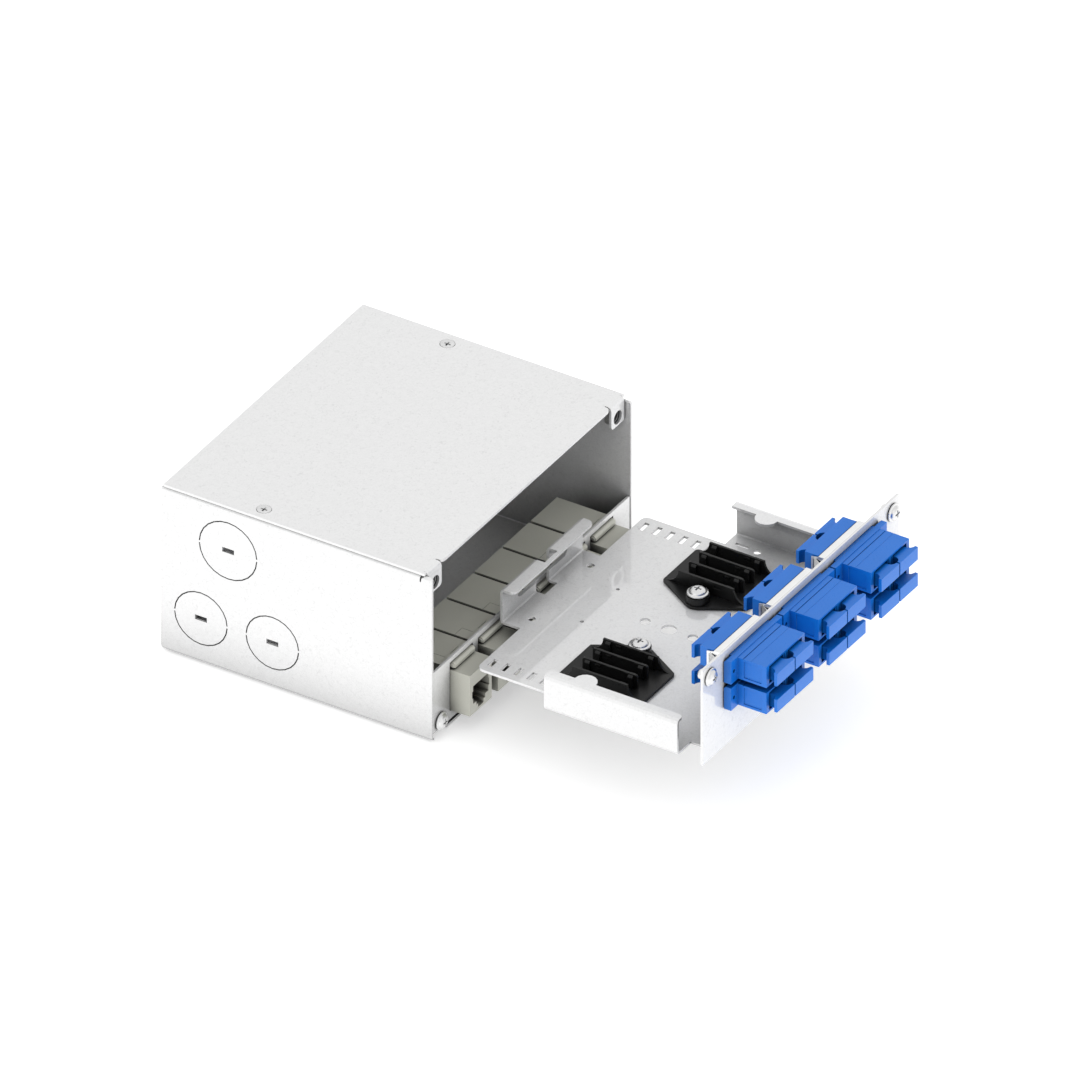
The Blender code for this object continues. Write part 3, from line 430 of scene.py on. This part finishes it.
BODY_OF = {node: body for body, nodes in frame["record"]["behaviour"]["bodies"].items() for node in nodes}
SLOT_OF = {part["node"]: part["material_slot"] for part in frame["record"]["subparts"]}


def dress(obj, material, body):
    """Gives a piece its material and the body that it rides on."""
    obj.data.materials.clear()
    obj.data.materials.append(MATERIALS[material])
    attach(obj, body)


def stand_in(prototype, node):
    """A copy of the prototype in place of a CAD node, their boxes' lowest corners together."""
    piece = bpy.data.objects.new(f"{node}_detail", prototype.data)
    piece.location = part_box(node)[0] - lowest(prototype)
    bpy.context.scene.collection.objects.link(piece)
    dress(piece, SLOT_OF[node], BODY_OF[node])
    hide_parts(node)


def add_to(prototype, node, name, material, anchor):
    """A copy of the prototype added to a CAD node, its origin at anchor from the node's lowest corner."""
    piece = bpy.data.objects.new(name, prototype.data)
    piece.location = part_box(node)[0] + Vector(anchor) * MM
    bpy.context.scene.collection.objects.link(piece)
    dress(piece, material, BODY_OF[node])


def turned_round(prototype):
    """A second prototype, turned half a turn about Z."""
    copy = bpy.data.objects.new(prototype.name, prototype.data.copy())
    copy.data.transform(Matrix.Rotation(math.pi, 4, "Z"))
    return copy


def put_away(*prototypes):
    """Takes the prototypes out once their copies are in place."""
    for prototype in prototypes:
        bpy.data.objects.remove(prototype)


# ---- screws --------------------------------------------------------------------------------------

WING_HALF = 0.33
THREAD_PITCH = 0.7
THREAD_DEPTH = 0.28
POINT = 0.6
HEAD_HEIGHT = 2.2
PAN_DOME = [(0.0, 0.0), (0.23, -0.04), (0.43, -0.17), (0.6, -0.42), (0.72, -0.76)]
PAN_DOME += [(0.79, -1.15), (0.81, -1.5)]
SCREW_EDGE = 0.05


def cross_recess(reach, depth):
    """Cutters for a cross recess that narrows towards its foot, in a head whose top is at the origin."""
    above, shoulder = 0.5, -0.2
    foot = reach * 0.45
    profile = [(-reach, above), (reach, above), (reach, shoulder)]
    profile += [(foot, -depth), (-foot, -depth), (-reach, shoulder)]
    wings = []
    for turn in (0.0, math.pi / 2):
        wing = plate(profile, "Y", -WING_HALF, WING_HALF)
        wing.data.transform(Matrix.Rotation(turn, 4, "Z"))
        wings.append(wing)
    return wings


def threaded(radius, top, foot):
    """Profile points of a threaded shank with a blunt point. The thread is drawn as rings."""
    points = []
    turns = int((top - foot - POINT) / THREAD_PITCH)
    for k in range(turns):
        height = top - k * THREAD_PITCH
        points.append((radius - THREAD_DEPTH, height - THREAD_PITCH * 0.4))
        points.append((radius, height - THREAD_PITCH * 0.8))
    return points + [(radius, foot + POINT), (radius - POINT, foot), (0.0, foot)]


def pan_screw(radius, length, head=3.5):
    """A pan-head screw with a washer rim, its head's top at the origin and its shank down -Z."""
    dome = [(part * head, height) for part, height in PAN_DOME]
    rim = [(head - 0.2, -1.54), (head, -1.66), (head, -2.1)]
    rim += [(head - 0.08, -HEAD_HEIGHT), (radius, -HEAD_HEIGHT)]
    shank = threaded(radius, -HEAD_HEIGHT, -HEAD_HEIGHT - length)
    return cut(turned(dome + rim + shank), cross_recess(reach=1.45, depth=1.2))


def countersunk_screw():
    """A flat-head screw, its head's top at the origin and its shank down -Z."""
    radius, neck, foot = 1.5, -1.2, -7.0
    profile = [(0.0, 0.0), (2.55, 0.0), (2.7, -0.08), (radius, neck)] + threaded(radius, neck, foot)
    return cut(turned(profile), cross_recess(reach=1.3, depth=0.9))


def shank_length(node, along):
    """What the CAD screw measures below its head, by the axis that it lies along."""
    low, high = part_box(node)
    return (high - low)[along] / MM - HEAD_HEIGHT


def stand_in_screw(screw, node):
    soften(screw, SCREW_EDGE, segments=1, angle=50.0)
    evaluated(screw)
    stand_in(screw, node)
    put_away(screw)


def add_screws():
    for side in ("left", "right"):
        stand_in_screw(countersunk_screw(), f"cover_screw_{side}")
        for name in ("lower_panel_screw", "drawer_screw"):
            node = f"{name}_{side}"
            screw = pan_screw(1.9, shank_length(node, along=1))
            screw.data.transform(Matrix.Rotation(math.pi / 2, 4, "X"))
            stand_in_screw(screw, node)
        node = f"holder_screw_{side}"
        stand_in_screw(pan_screw(1.5, shank_length(node, along=2), head=4.0), node)


# ---- splice holders ------------------------------------------------------------------------------

HOLDER_X = (24.6, 47.6)
HOLDER_TIP_X = 14.2
HOLDER_HALF = 17.6
HOLDER_CORNERS = [0.6, 1.5, 1.5, 0.6, 4.9]
HOLDER_SCREW_X = 19.7
HOLDER_EDGE = 0.09
BASE_TOP = 1.0
BOSS_RADIUS = 4.3
BOSS_HEIGHT = 2.8
BORE_RADIUS = 1.8
FIN_TOP = 6.5
FIN_HALF = 0.45
FIN_END = 11.5
FIN_PITCH = 7.0
FIN_X = [25.6 + FIN_PITCH * k for k in range(4)]
SINK = 0.5  # how far fins and pillars start below the base's top, to join it
SWEEP_STEPS = 14
HOOK_Y = 9.0
HOOK_HALF = 1.0
HOOK_REACH = 1.1
TAB_Y = (-5.8, -3.8)
TAB_DOWN = (1.1, 0.6)
WINDOW_Y = (-6.2, -3.4)
WINDOW_DOWN = (2.4, 1.15)
RIB_Y = (-1.2, 6.0)
RIB_DOWN = (1.0, 0.15)
RIB_HALF = 0.62
RIB_LENGTH = 1.8


def fin(x, scalloped):
    """A fin across the holder. A scalloped one sweeps down to the base in a hollow curve at both ends."""
    foot = BASE_TOP - SINK
    if scalloped:
        sweep = FIN_TOP - BASE_TOP
        profile = arc((FIN_END + sweep, FIN_TOP), sweep, 180.0, 270.0, SWEEP_STEPS)
        profile += [(FIN_END + sweep, foot), (-FIN_END - sweep, foot)]
        profile += arc((-FIN_END - sweep, FIN_TOP), sweep, 270.0, 360.0, SWEEP_STEPS)
    else:
        end, clip = FIN_END, 0.6
        profile = [(-end, foot), (end, foot), (end, FIN_TOP - clip), (end - clip, FIN_TOP)]
        profile += [(-end + clip, FIN_TOP), (-end, FIN_TOP - clip)]
    return plate(profile, "X", x - FIN_HALF, x + FIN_HALF)


def hook(x, facing, y):
    """A sprung pillar on a fin's face, its top slanted towards the channel."""
    root = x + facing * (FIN_HALF - 0.2)
    reach = x + facing * (FIN_HALF + HOOK_REACH)
    foot = BASE_TOP - SINK
    profile = [(root, foot), (reach, foot), (reach, FIN_TOP - 1.0)]
    profile += [(reach - facing * 0.4, FIN_TOP - 0.45), (root, FIN_TOP - 0.3)]
    return plate(profile, "Y", y - HOOK_HALF, y + HOOK_HALF)


def below_top(down):
    """The two heights that are so far below the fins' tops."""
    return FIN_TOP - down[0], FIN_TOP - down[1]


def fin_details(x):
    """What a fin gets: pillars and tabs where it faces a channel, ribs, and cutters for its windows."""
    pieces, windows = [], []
    for facing in (-1, 1):
        if x + facing * FIN_PITCH not in FIN_X:
            continue
        pieces += [hook(x, facing, y) for y in (-HOOK_Y, HOOK_Y)]
        tab = sorted((x + facing * 0.3, x + facing * 1.0))
        pieces.append(block(tab, TAB_Y, below_top(TAB_DOWN)))
    for facing in (-1, 1):
        face = sorted((x + facing * 0.2, x + facing))
        windows.append(block(face, WINDOW_Y, below_top(WINDOW_DOWN)))
    for y in RIB_Y:
        pieces.append(block((x - RIB_HALF, x + RIB_HALF), (y, y + RIB_LENGTH), below_top(RIB_DOWN)))
    return pieces, windows


def splice_holder():
    """The holder on the tray's right: a five-cornered base with a screw boss and four fins across it."""
    x0, x1 = HOLDER_X
    half = HOLDER_HALF
    outline = [(x0, -half), (x1, -half), (x1, half), (x0, half), (HOLDER_TIP_X, 0.0)]
    base = plate(rounded(outline, HOLDER_CORNERS, 10), "Z", 0.0, BASE_TOP)
    screw_at = (HOLDER_SCREW_X, 0.0)
    pieces = [cylinder(screw_at, BOSS_RADIUS, 0.0, BASE_TOP + BOSS_HEIGHT, "Z", 40)]
    cutters = []
    for x in FIN_X:
        details, windows = fin_details(x)
        pieces += [fin(x, scalloped=x in (FIN_X[0], FIN_X[-1]))] + details
        cutters += windows
    joined(base, pieces)
    cut(base, cutters + [cylinder(screw_at, BORE_RADIUS, -1.0, BASE_TOP + BOSS_HEIGHT + 1.2, "Z")])
    soften(base, HOLDER_EDGE, segments=1, angle=35.0)
    return evaluated(base)


def add_holders():
    right = splice_holder()
    left = turned_round(right)
    stand_in(right, "splice_holder_right")
    stand_in(left, "splice_holder_left")
    put_away(right, left)


# ---- jacks ---------------------------------------------------------------------------------------

JACK_COUNT = 6
FACE_HALF = 7.4
FACE_FRONT = -8.2
FACE_Z = (6.3, 23.7)
SOCKET_END = 6.8
SHELL_HALF = 8.9
SHELL_Y = (1.3, 24.3)
SHELL_Z = (4.2, 25.6)
WIRE_SLOT_ROWS = (8.0, 17.0)
WIRE_SLOT_PITCH = 3.6
WIRE_SLOT_HALF = 0.6
WIRE_SLOT_DEPTH = 5.0
WIRE_SLOT_HEIGHT = 5.0
SEAM = 0.18
SEAMS = [
    ((-SHELL_HALF - 1, -4.0), (9.0, 9.0 + SEAM)),
    ((-4.0, -4.0 + SEAM), (4.4, 9.0 + SEAM)),
    ((-1.0, 4.6), (4.0, 4.0 + SEAM)),
]
JACK_EDGE = 0.2
LATCH_EDGE = 0.12
CONTACT_COUNT = 8
CONTACT_PITCH = 1.02
CONTACT_RADIUS = 0.2
CONTACT_SIDES = 8
CONTACT_ROUTE = [(-6.0, 17.9), (-5.0, 17.7), (0.6, 14.2), (1.6, 13.9), (2.6, 14.4), (6.0, 17.6)]


def socket_outline():
    """The stepped socket with the plug latch's keyway at its foot: its right half, and that half mirrored."""
    right = [(1.8, 7.4), (1.8, 9.0), (3.0, 9.0), (3.0, 10.6), (5.2, 10.6)]
    right += [(5.2, 13.0), (5.8, 13.0), (5.8, 16.0), (5.2, 16.0), (5.2, 18.2)]
    return right + [(-x, z) for x, z in reversed(right)]


def jack_shell():
    """The jack's body behind the panel and the face in front of it, about the panel's front face."""
    body = block((-SHELL_HALF, SHELL_HALF), SHELL_Y, SHELL_Z)
    joined(body, [block((-FACE_HALF, FACE_HALF), (FACE_FRONT, 5.0), FACE_Z)])
    cutters = [plate(socket_outline(), "Y", FACE_FRONT - 1, SOCKET_END)]
    rear, top = SHELL_Y[1], SHELL_Z[1]
    for row in WIRE_SLOT_ROWS:
        for k in range(4):
            x = (k - 1.5) * WIRE_SLOT_PITCH
            across = (x - WIRE_SLOT_HALF, x + WIRE_SLOT_HALF)
            cutters.append(block(across, (rear - WIRE_SLOT_DEPTH, rear + 1), (row, row + WIRE_SLOT_HEIGHT)))
    cutters += [block(across, along, (top - SEAM, top + 1)) for across, along in SEAMS]
    cut(body, cutters)
    soften(body, JACK_EDGE)
    return evaluated(body)


def jack_latch():
    """The keystone latch: a slanted bar above the face, with an arm to the body and a step at one end."""
    profile = [(-1.6, 24.35), (-1.6, 25.6), (-0.9, 26.4), (0.2, 26.4)]
    profile += [(0.2, 25.75), (3.0, 25.75), (3.0, 25.2), (-0.6, 24.35)]
    bar = plate(profile, "X", -6.6, 6.9)
    step = plate([(-1.2, 24.5), (-1.2, 25.6), (-0.4, 26.0), (1.5, 26.0), (1.5, 24.9)], "X", -7.0, -6.4)
    joined(bar, [step])
    soften(bar, LATCH_EDGE)
    return evaluated(bar)


def along_route(i):
    """The direction of the contacts' route at one of its points, in the Y and Z of the jack."""
    return Vector(CONTACT_ROUTE[min(i + 1, len(CONTACT_ROUTE) - 1)]) - Vector(CONTACT_ROUTE[max(i - 1, 0)])


def jack_contacts():
    """The eight sprung wires of the socket, one mesh: each leans down and back from the socket's roof."""
    bm = bmesh.new()
    for k in range(CONTACT_COUNT):
        x = (k - (CONTACT_COUNT - 1) / 2) * CONTACT_PITCH
        rings = []
        for i, (y, z) in enumerate(CONTACT_ROUTE):
            ahead = along_route(i)
            normal = Vector((-ahead.y, ahead.x)).normalized()
            ring = []
            for s in range(CONTACT_SIDES):
                a = 2 * math.pi * s / CONTACT_SIDES
                out = normal * (CONTACT_RADIUS * math.sin(a))
                ring.append(bm.verts.new((x + CONTACT_RADIUS * math.cos(a), y + out.x, z + out.y)))
            rings.append(ring)
        for first, second in zip(rings, rings[1:]):
            for s in range(CONTACT_SIDES):
                after = (s + 1) % CONTACT_SIDES
                bm.faces.new((first[s], first[after], second[after], second[s]))
        bm.faces.new(rings[0])
        bm.faces.new(rings[-1])
    bmesh.ops.recalc_face_normals(bm, faces=bm.faces)
    wires = solid(bm)
    wires.data.shade_smooth()
    return wires


def add_jacks():
    shell, latch, contacts = jack_shell(), jack_latch(), jack_contacts()
    origin = (SHELL_HALF, -FACE_FRONT, -SHELL_Z[0])
    for k in range(1, JACK_COUNT + 1):
        node = f"jack_{k}"
        stand_in(shell, node)
        add_to(latch, node, f"{node}_latch", "jack_grey", origin)
        add_to(contacts, node, f"{node}_contacts", "contact_gold", origin)
    put_away(shell, latch, contacts)


# ---- adapters ------------------------------------------------------------------------------------

ADAPTER_COUNT = 6
ADAPTER_HALF = (13.0, 4.5)
ADAPTER_FRONT = -15.5
ADAPTER_REAR = 12.3
ADAPTER_EDGE = 0.13
FLANGE_HALF = (17.4, 4.8)
FLANGE_Y = (-3.4, -0.3)
FLANGE_CHAMFER = 0.8
FLANGE_HOLE = (15.4, 0.75)
PORT_X = 6.35
PORT_HALF = (4.7, 3.7)
PORT_STEP = 0.8
WEB_Y = (-3.2, 0.0)
WAIST_END = 8.0
WAIST_HALF = 3.6
REAR_START = 6.6
REAR_INSET = 0.4
RECESS_DEPTH = 0.35
SIDE_RECESS = [(-13.4, -3.5), (-6.0, -3.5), (-6.0, 3.6), (-11.7, 3.6), (-11.7, 2.7), (-13.4, 2.7)]
GROOVES = [(-5.9, -5.5, 0.3), (-9.0, -8.85, 0.1)]
SLIT_X = 0.95
SLIT_HALF = 0.25
SLIT_LENGTH = 2.2
SLIT_ROOF = 0.9
SLEEVE_RADII = (1.82, 1.28)
SLEEVE_SLIT = 12.0
SLEEVE_EDGE = 0.06


def adapter_shell():
    """A duplex adapter about its centre line at the panel's front face."""
    w, h = ADAPTER_HALF
    body = box((-w, ADAPTER_FRONT, -h), (w, 0.6, h))
    fw, fh = FLANGE_HALF
    front, back = FLANGE_Y
    flange_side = [(front, -fh), (back, -fh), (back, fh - FLANGE_CHAMFER)]
    flange_side += [(back - FLANGE_CHAMFER, fh), (front, fh)]
    flange = plate(flange_side, "X", -fw, fw)
    waist = block((-w, w), (0.0, WAIST_END), (-WAIST_HALF, WAIST_HALF))
    rear = block((-w, w), (REAR_START, ADAPTER_REAR), (-h + REAR_INSET, h - REAR_INSET))
    joined(body, [flange, waist, rear])
    pw, ph = PORT_HALF
    cutters = []
    for port in (-1, 1):
        x = port * PORT_X
        slit = port * SLIT_X
        across = (x - pw, x + pw)
        cutters.append(block(across, (ADAPTER_FRONT - 1, WEB_Y[0]), (-ph, ph)))
        cutters.append(block(across, (WEB_Y[1], ADAPTER_REAR + 1), (-ph + PORT_STEP, ph - PORT_STEP)))
        cutters.append(cylinder((x, 0.0), SLEEVE_RADII[0] + 0.08, WEB_Y[0] - 1, WEB_Y[1] + 1, "Y"))
        along = (ADAPTER_FRONT - 1, ADAPTER_FRONT + SLIT_LENGTH)
        cutters.append(block((slit - SLIT_HALF, slit + SLIT_HALF), along, (-h - 1, h - SLIT_ROOF)))
    for side in (-1, 1):
        cutters.append(cylinder((side * FLANGE_HOLE[0], 0.0), FLANGE_HOLE[1], -4.4, 0.0, "Y", 20))
        cutters.append(plate(SIDE_RECESS, "X", *sorted((side * (w - RECESS_DEPTH), side * (w + 1)))))
    for first, last, depth in GROOVES:
        cutters.append(block((-w - 1, w + 1), (first, last), (h - depth, h + 1)))
    cut(body, cutters)
    soften(body, ADAPTER_EDGE)
    return evaluated(body)


def alignment_sleeve():
    """A split ceramic sleeve in the web between a port's two ends."""
    outer, inner = SLEEVE_RADII
    first, last = SLEEVE_SLIT, 360.0 - SLEEVE_SLIT
    profile = arc((0.0, 0.0), outer, first, last, 36) + arc((0.0, 0.0), inner, last, first, 36)
    sleeve = plate(profile, "Y", WEB_Y[0] + 0.2, WEB_Y[1] - 0.2)
    soften(sleeve, SLEEVE_EDGE)
    return evaluated(sleeve)


CAP_HALF = (6.05, 2.75)
CAP_GRIP = 1.3
CAP_NOTCH = 2.4
CAP_LENGTH = 10.0
CAP_BORE = (1.9, 5.0)
CAP_EDGE = 0.14


def dust_cap():
    """A dust cap: a grip plate with round finger notches behind it, and the plug that goes into the port."""
    half_w, half_h = CAP_HALF
    bore_half, bore_depth = CAP_BORE
    right = [(half_w, 0.0), (half_w, CAP_GRIP)]
    right += arc((half_w, CAP_GRIP + CAP_NOTCH), CAP_NOTCH, 270.0, 180.0, 14)[1:]
    right += [(half_w - CAP_NOTCH, CAP_LENGTH), (bore_half, CAP_LENGTH), (bore_half, CAP_LENGTH - bore_depth)]
    cap = plate(right + [(-x, y) for x, y in reversed(right)], "Z", -half_h, half_h)
    soften(cap, CAP_EDGE)
    return evaluated(cap)


CLIP_Y = (1.3, 6.2)
CLIP_Z = (-3.4, 4.3)
CLIP_INNER = 13.3
CLIP_SHEET = 0.4
CLIP_SPREAD = 2.8
CLIP_EDGE = 0.06
LEG_REAR = 9.2
LEG_WINDOW = [(2.4, -2.6), (LEG_REAR - 0.9, -2.6), (LEG_REAR - 0.9, 2.6), (2.4, 2.6)]


def adapter_clip():
    """The spring clip: a strap over the adapter's waist, with a leg and a sprung leaf at each side."""
    inner, outer = CLIP_INNER, CLIP_INNER + CLIP_SHEET
    foot, top = CLIP_Z
    under = 3.9
    front, rear = CLIP_Y
    tip = inner + CLIP_SPREAD
    strap = [(-outer, foot), (-inner, foot), (-inner, under), (inner, under), (inner, foot), (outer, foot)]
    clip = plate(strap + [(outer, top), (-outer, top)], "Y", front, rear)
    leg = [(front, foot), (LEG_REAR, foot), (LEG_REAR, 3.4), (rear, under), (front, under)]
    leaf = [(inner, LEG_REAR - 0.5), (tip, front + 0.4), (tip, front), (tip - 0.4, front)]
    leaf += [(inner, LEG_REAR - 1.1)]
    slant = [(front - 1, 0.4), (LEG_REAR - 1.2, 3.3), (LEG_REAR - 1.2, 5.0), (front - 1, 5.0)]
    legs, windows, leaves, slants = [], [], [], []
    for side in (-1, 1):
        sheet = sorted((side * inner, side * outer))
        legs.append(plate(leg, "X", *sheet))
        windows.append(plate(LEG_WINDOW, "X", sheet[0] - 0.5, sheet[1] + 0.5))
        leaves.append(plate([(side * x, y) for x, y in leaf], "Z", -2.6, 3.2))
        slants.append(plate(slant, "X", *sorted((side * (outer + 0.1), side * (tip + 1)))))
    joined(clip, legs)
    cut(clip, windows)
    joined(clip, leaves)
    cut(clip, slants)
    soften(clip, CLIP_EDGE, segments=1)
    return evaluated(clip)


def add_adapters():
    shell, sleeve, clip = adapter_shell(), alignment_sleeve(), adapter_clip()
    front_cap = dust_cap()
    rear_cap = turned_round(front_cap)
    for k in range(1, ADAPTER_COUNT + 1):
        node = f"adapter_{k}"
        stand_in(shell, node)
        stand_in(clip, f"adapter_clip_{k}")
        for port in (-1, 1):
            anchor = (FLANGE_HALF[0] + port * PORT_X, -ADAPTER_FRONT, FLANGE_HALF[1])
            side = "left" if port < 0 else "right"
            add_to(sleeve, node, f"{node}_sleeve_{side}", "sleeve_ceramic", anchor)
    for k in range(1, 2 * ADAPTER_COUNT + 1):
        stand_in(front_cap, f"front_dust_cap_{k:02d}")
        stand_in(rear_cap, f"rear_dust_cap_{k:02d}")
    put_away(shell, sleeve, clip, front_cap, rear_cap)


# ---- CAD nodes that are shown --------------------------------------------------------------------

SHEETS = ("housing_body", "top_cover", "lower_panel", "sliding_tray")
NUTS = ("cover_nut_left", "cover_nut_right", "base_nut_left", "base_nut_right")
SHEET_EDGE = 0.22
NUT_EDGE = 0.15


def dress_nodes(nodes, material, edge):
    """These nodes keep their CAD shape, with rounded edges and a finish."""
    for node in nodes:
        obj = frame["nodes"][node]
        obj.data.materials.clear()
        obj.data.materials.append(MATERIALS[material])
        for face in obj.data.polygons:
            face.material_index = 0
        soften(obj, edge, angle=20.0)


# ---- stage ---------------------------------------------------------------------------------------

CAMERA_AZIMUTH = -58.28
CAMERA_ELEVATION = 33.89
CAMERA_DISTANCE = 1.2
CAMERA_WIDTH = 0.3857
AIM_OFFSET = Vector((0.0, 0.0060, 0.0138))
WHITE = (1.0, 1.0, 1.0, 1.0)
WORLD_STRENGTH = 0.92
FLOOR_SIZE = 40.0
FLOOR_DROP = 0.0006
FLOOR_GLOW = 0.42


def towards(azimuth, elevation):
    """The direction from the object to a viewer or light at these angles, in degrees."""
    a, e = math.radians(azimuth), math.radians(elevation)
    return Vector((math.sin(a) * math.cos(e), -math.cos(a) * math.cos(e), math.sin(e)))


def middle():
    """The middle of the CAD at rest."""
    low, high = (Vector(corner) for corner in CAD_BOX)
    return (low + high) / 2


def add_camera():
    """A parallel view at the photograph's angle."""
    back = towards(CAMERA_AZIMUTH, CAMERA_ELEVATION)
    data = bpy.data.cameras.new("camera")
    data.type = "ORTHO"
    data.ortho_scale = CAMERA_WIDTH
    camera = bpy.data.objects.new("camera", data)
    camera.location = middle() + AIM_OFFSET + back * CAMERA_DISTANCE
    camera.rotation_euler = back.to_track_quat("Z", "Y").to_euler()
    bpy.context.scene.collection.objects.link(camera)
    bpy.context.scene.camera = camera


def area_light(name, azimuth, elevation, distance, size, power):
    """A soft square light that looks at the middle of the object."""
    data = bpy.data.lights.new(name, "AREA")
    data.size = size
    data.energy = power
    light = bpy.data.objects.new(name, data)
    back = towards(azimuth, elevation)
    light.location = middle() + back * distance
    light.rotation_euler = back.to_track_quat("Z", "Y").to_euler()
    bpy.context.scene.collection.objects.link(light)


def add_lights():
    bpy.context.scene.view_settings.view_transform = "Standard"
    world = bpy.data.worlds.new("studio")
    bpy.context.scene.world = world
    world.use_nodes = True
    background = world.node_tree.nodes["Background"]
    background.inputs["Color"].default_value = WHITE
    background.inputs["Strength"].default_value = WORLD_STRENGTH
    area_light("key", azimuth=-100.0, elevation=30.0, distance=1.3, size=0.9, power=0.8)
    area_light("fill", azimuth=-20.0, elevation=25.0, distance=1.5, size=1.0, power=1.0)


def add_floor():
    """A pale floor just below the box, so wide that no view from above sees its edge."""
    bm = bmesh.new()
    bmesh.ops.create_grid(bm, x_segments=1, y_segments=1, size=FLOOR_SIZE / 2)
    mesh = bpy.data.meshes.new("floor")
    bm.to_mesh(mesh)
    bm.free()
    floor = bpy.data.objects.new("floor", mesh)
    floor.location.z = -FLOOR_DROP
    bpy.context.scene.collection.objects.link(floor)
    paint = Finish("floor_paint", 0.9)
    paint.colour(paint.ramp(paint.noise(scale=3.0), [(0.3, shade(0.90)), (0.7, shade(0.92))]))
    paint.set("Emission Color", WHITE)
    paint.set("Emission Strength", FLOOR_GLOW)
    paint.set("Specular IOR Level", 0.0)
    mesh.materials.append(paint.material)


def main():
    dress_nodes(SHEETS, "powder_coat", SHEET_EDGE)
    dress_nodes(NUTS, "zinc_nut", NUT_EDGE)
    add_screws()
    add_holders()
    add_jacks()
    add_adapters()
    add_camera()
    add_lights()
    add_floor()


main()
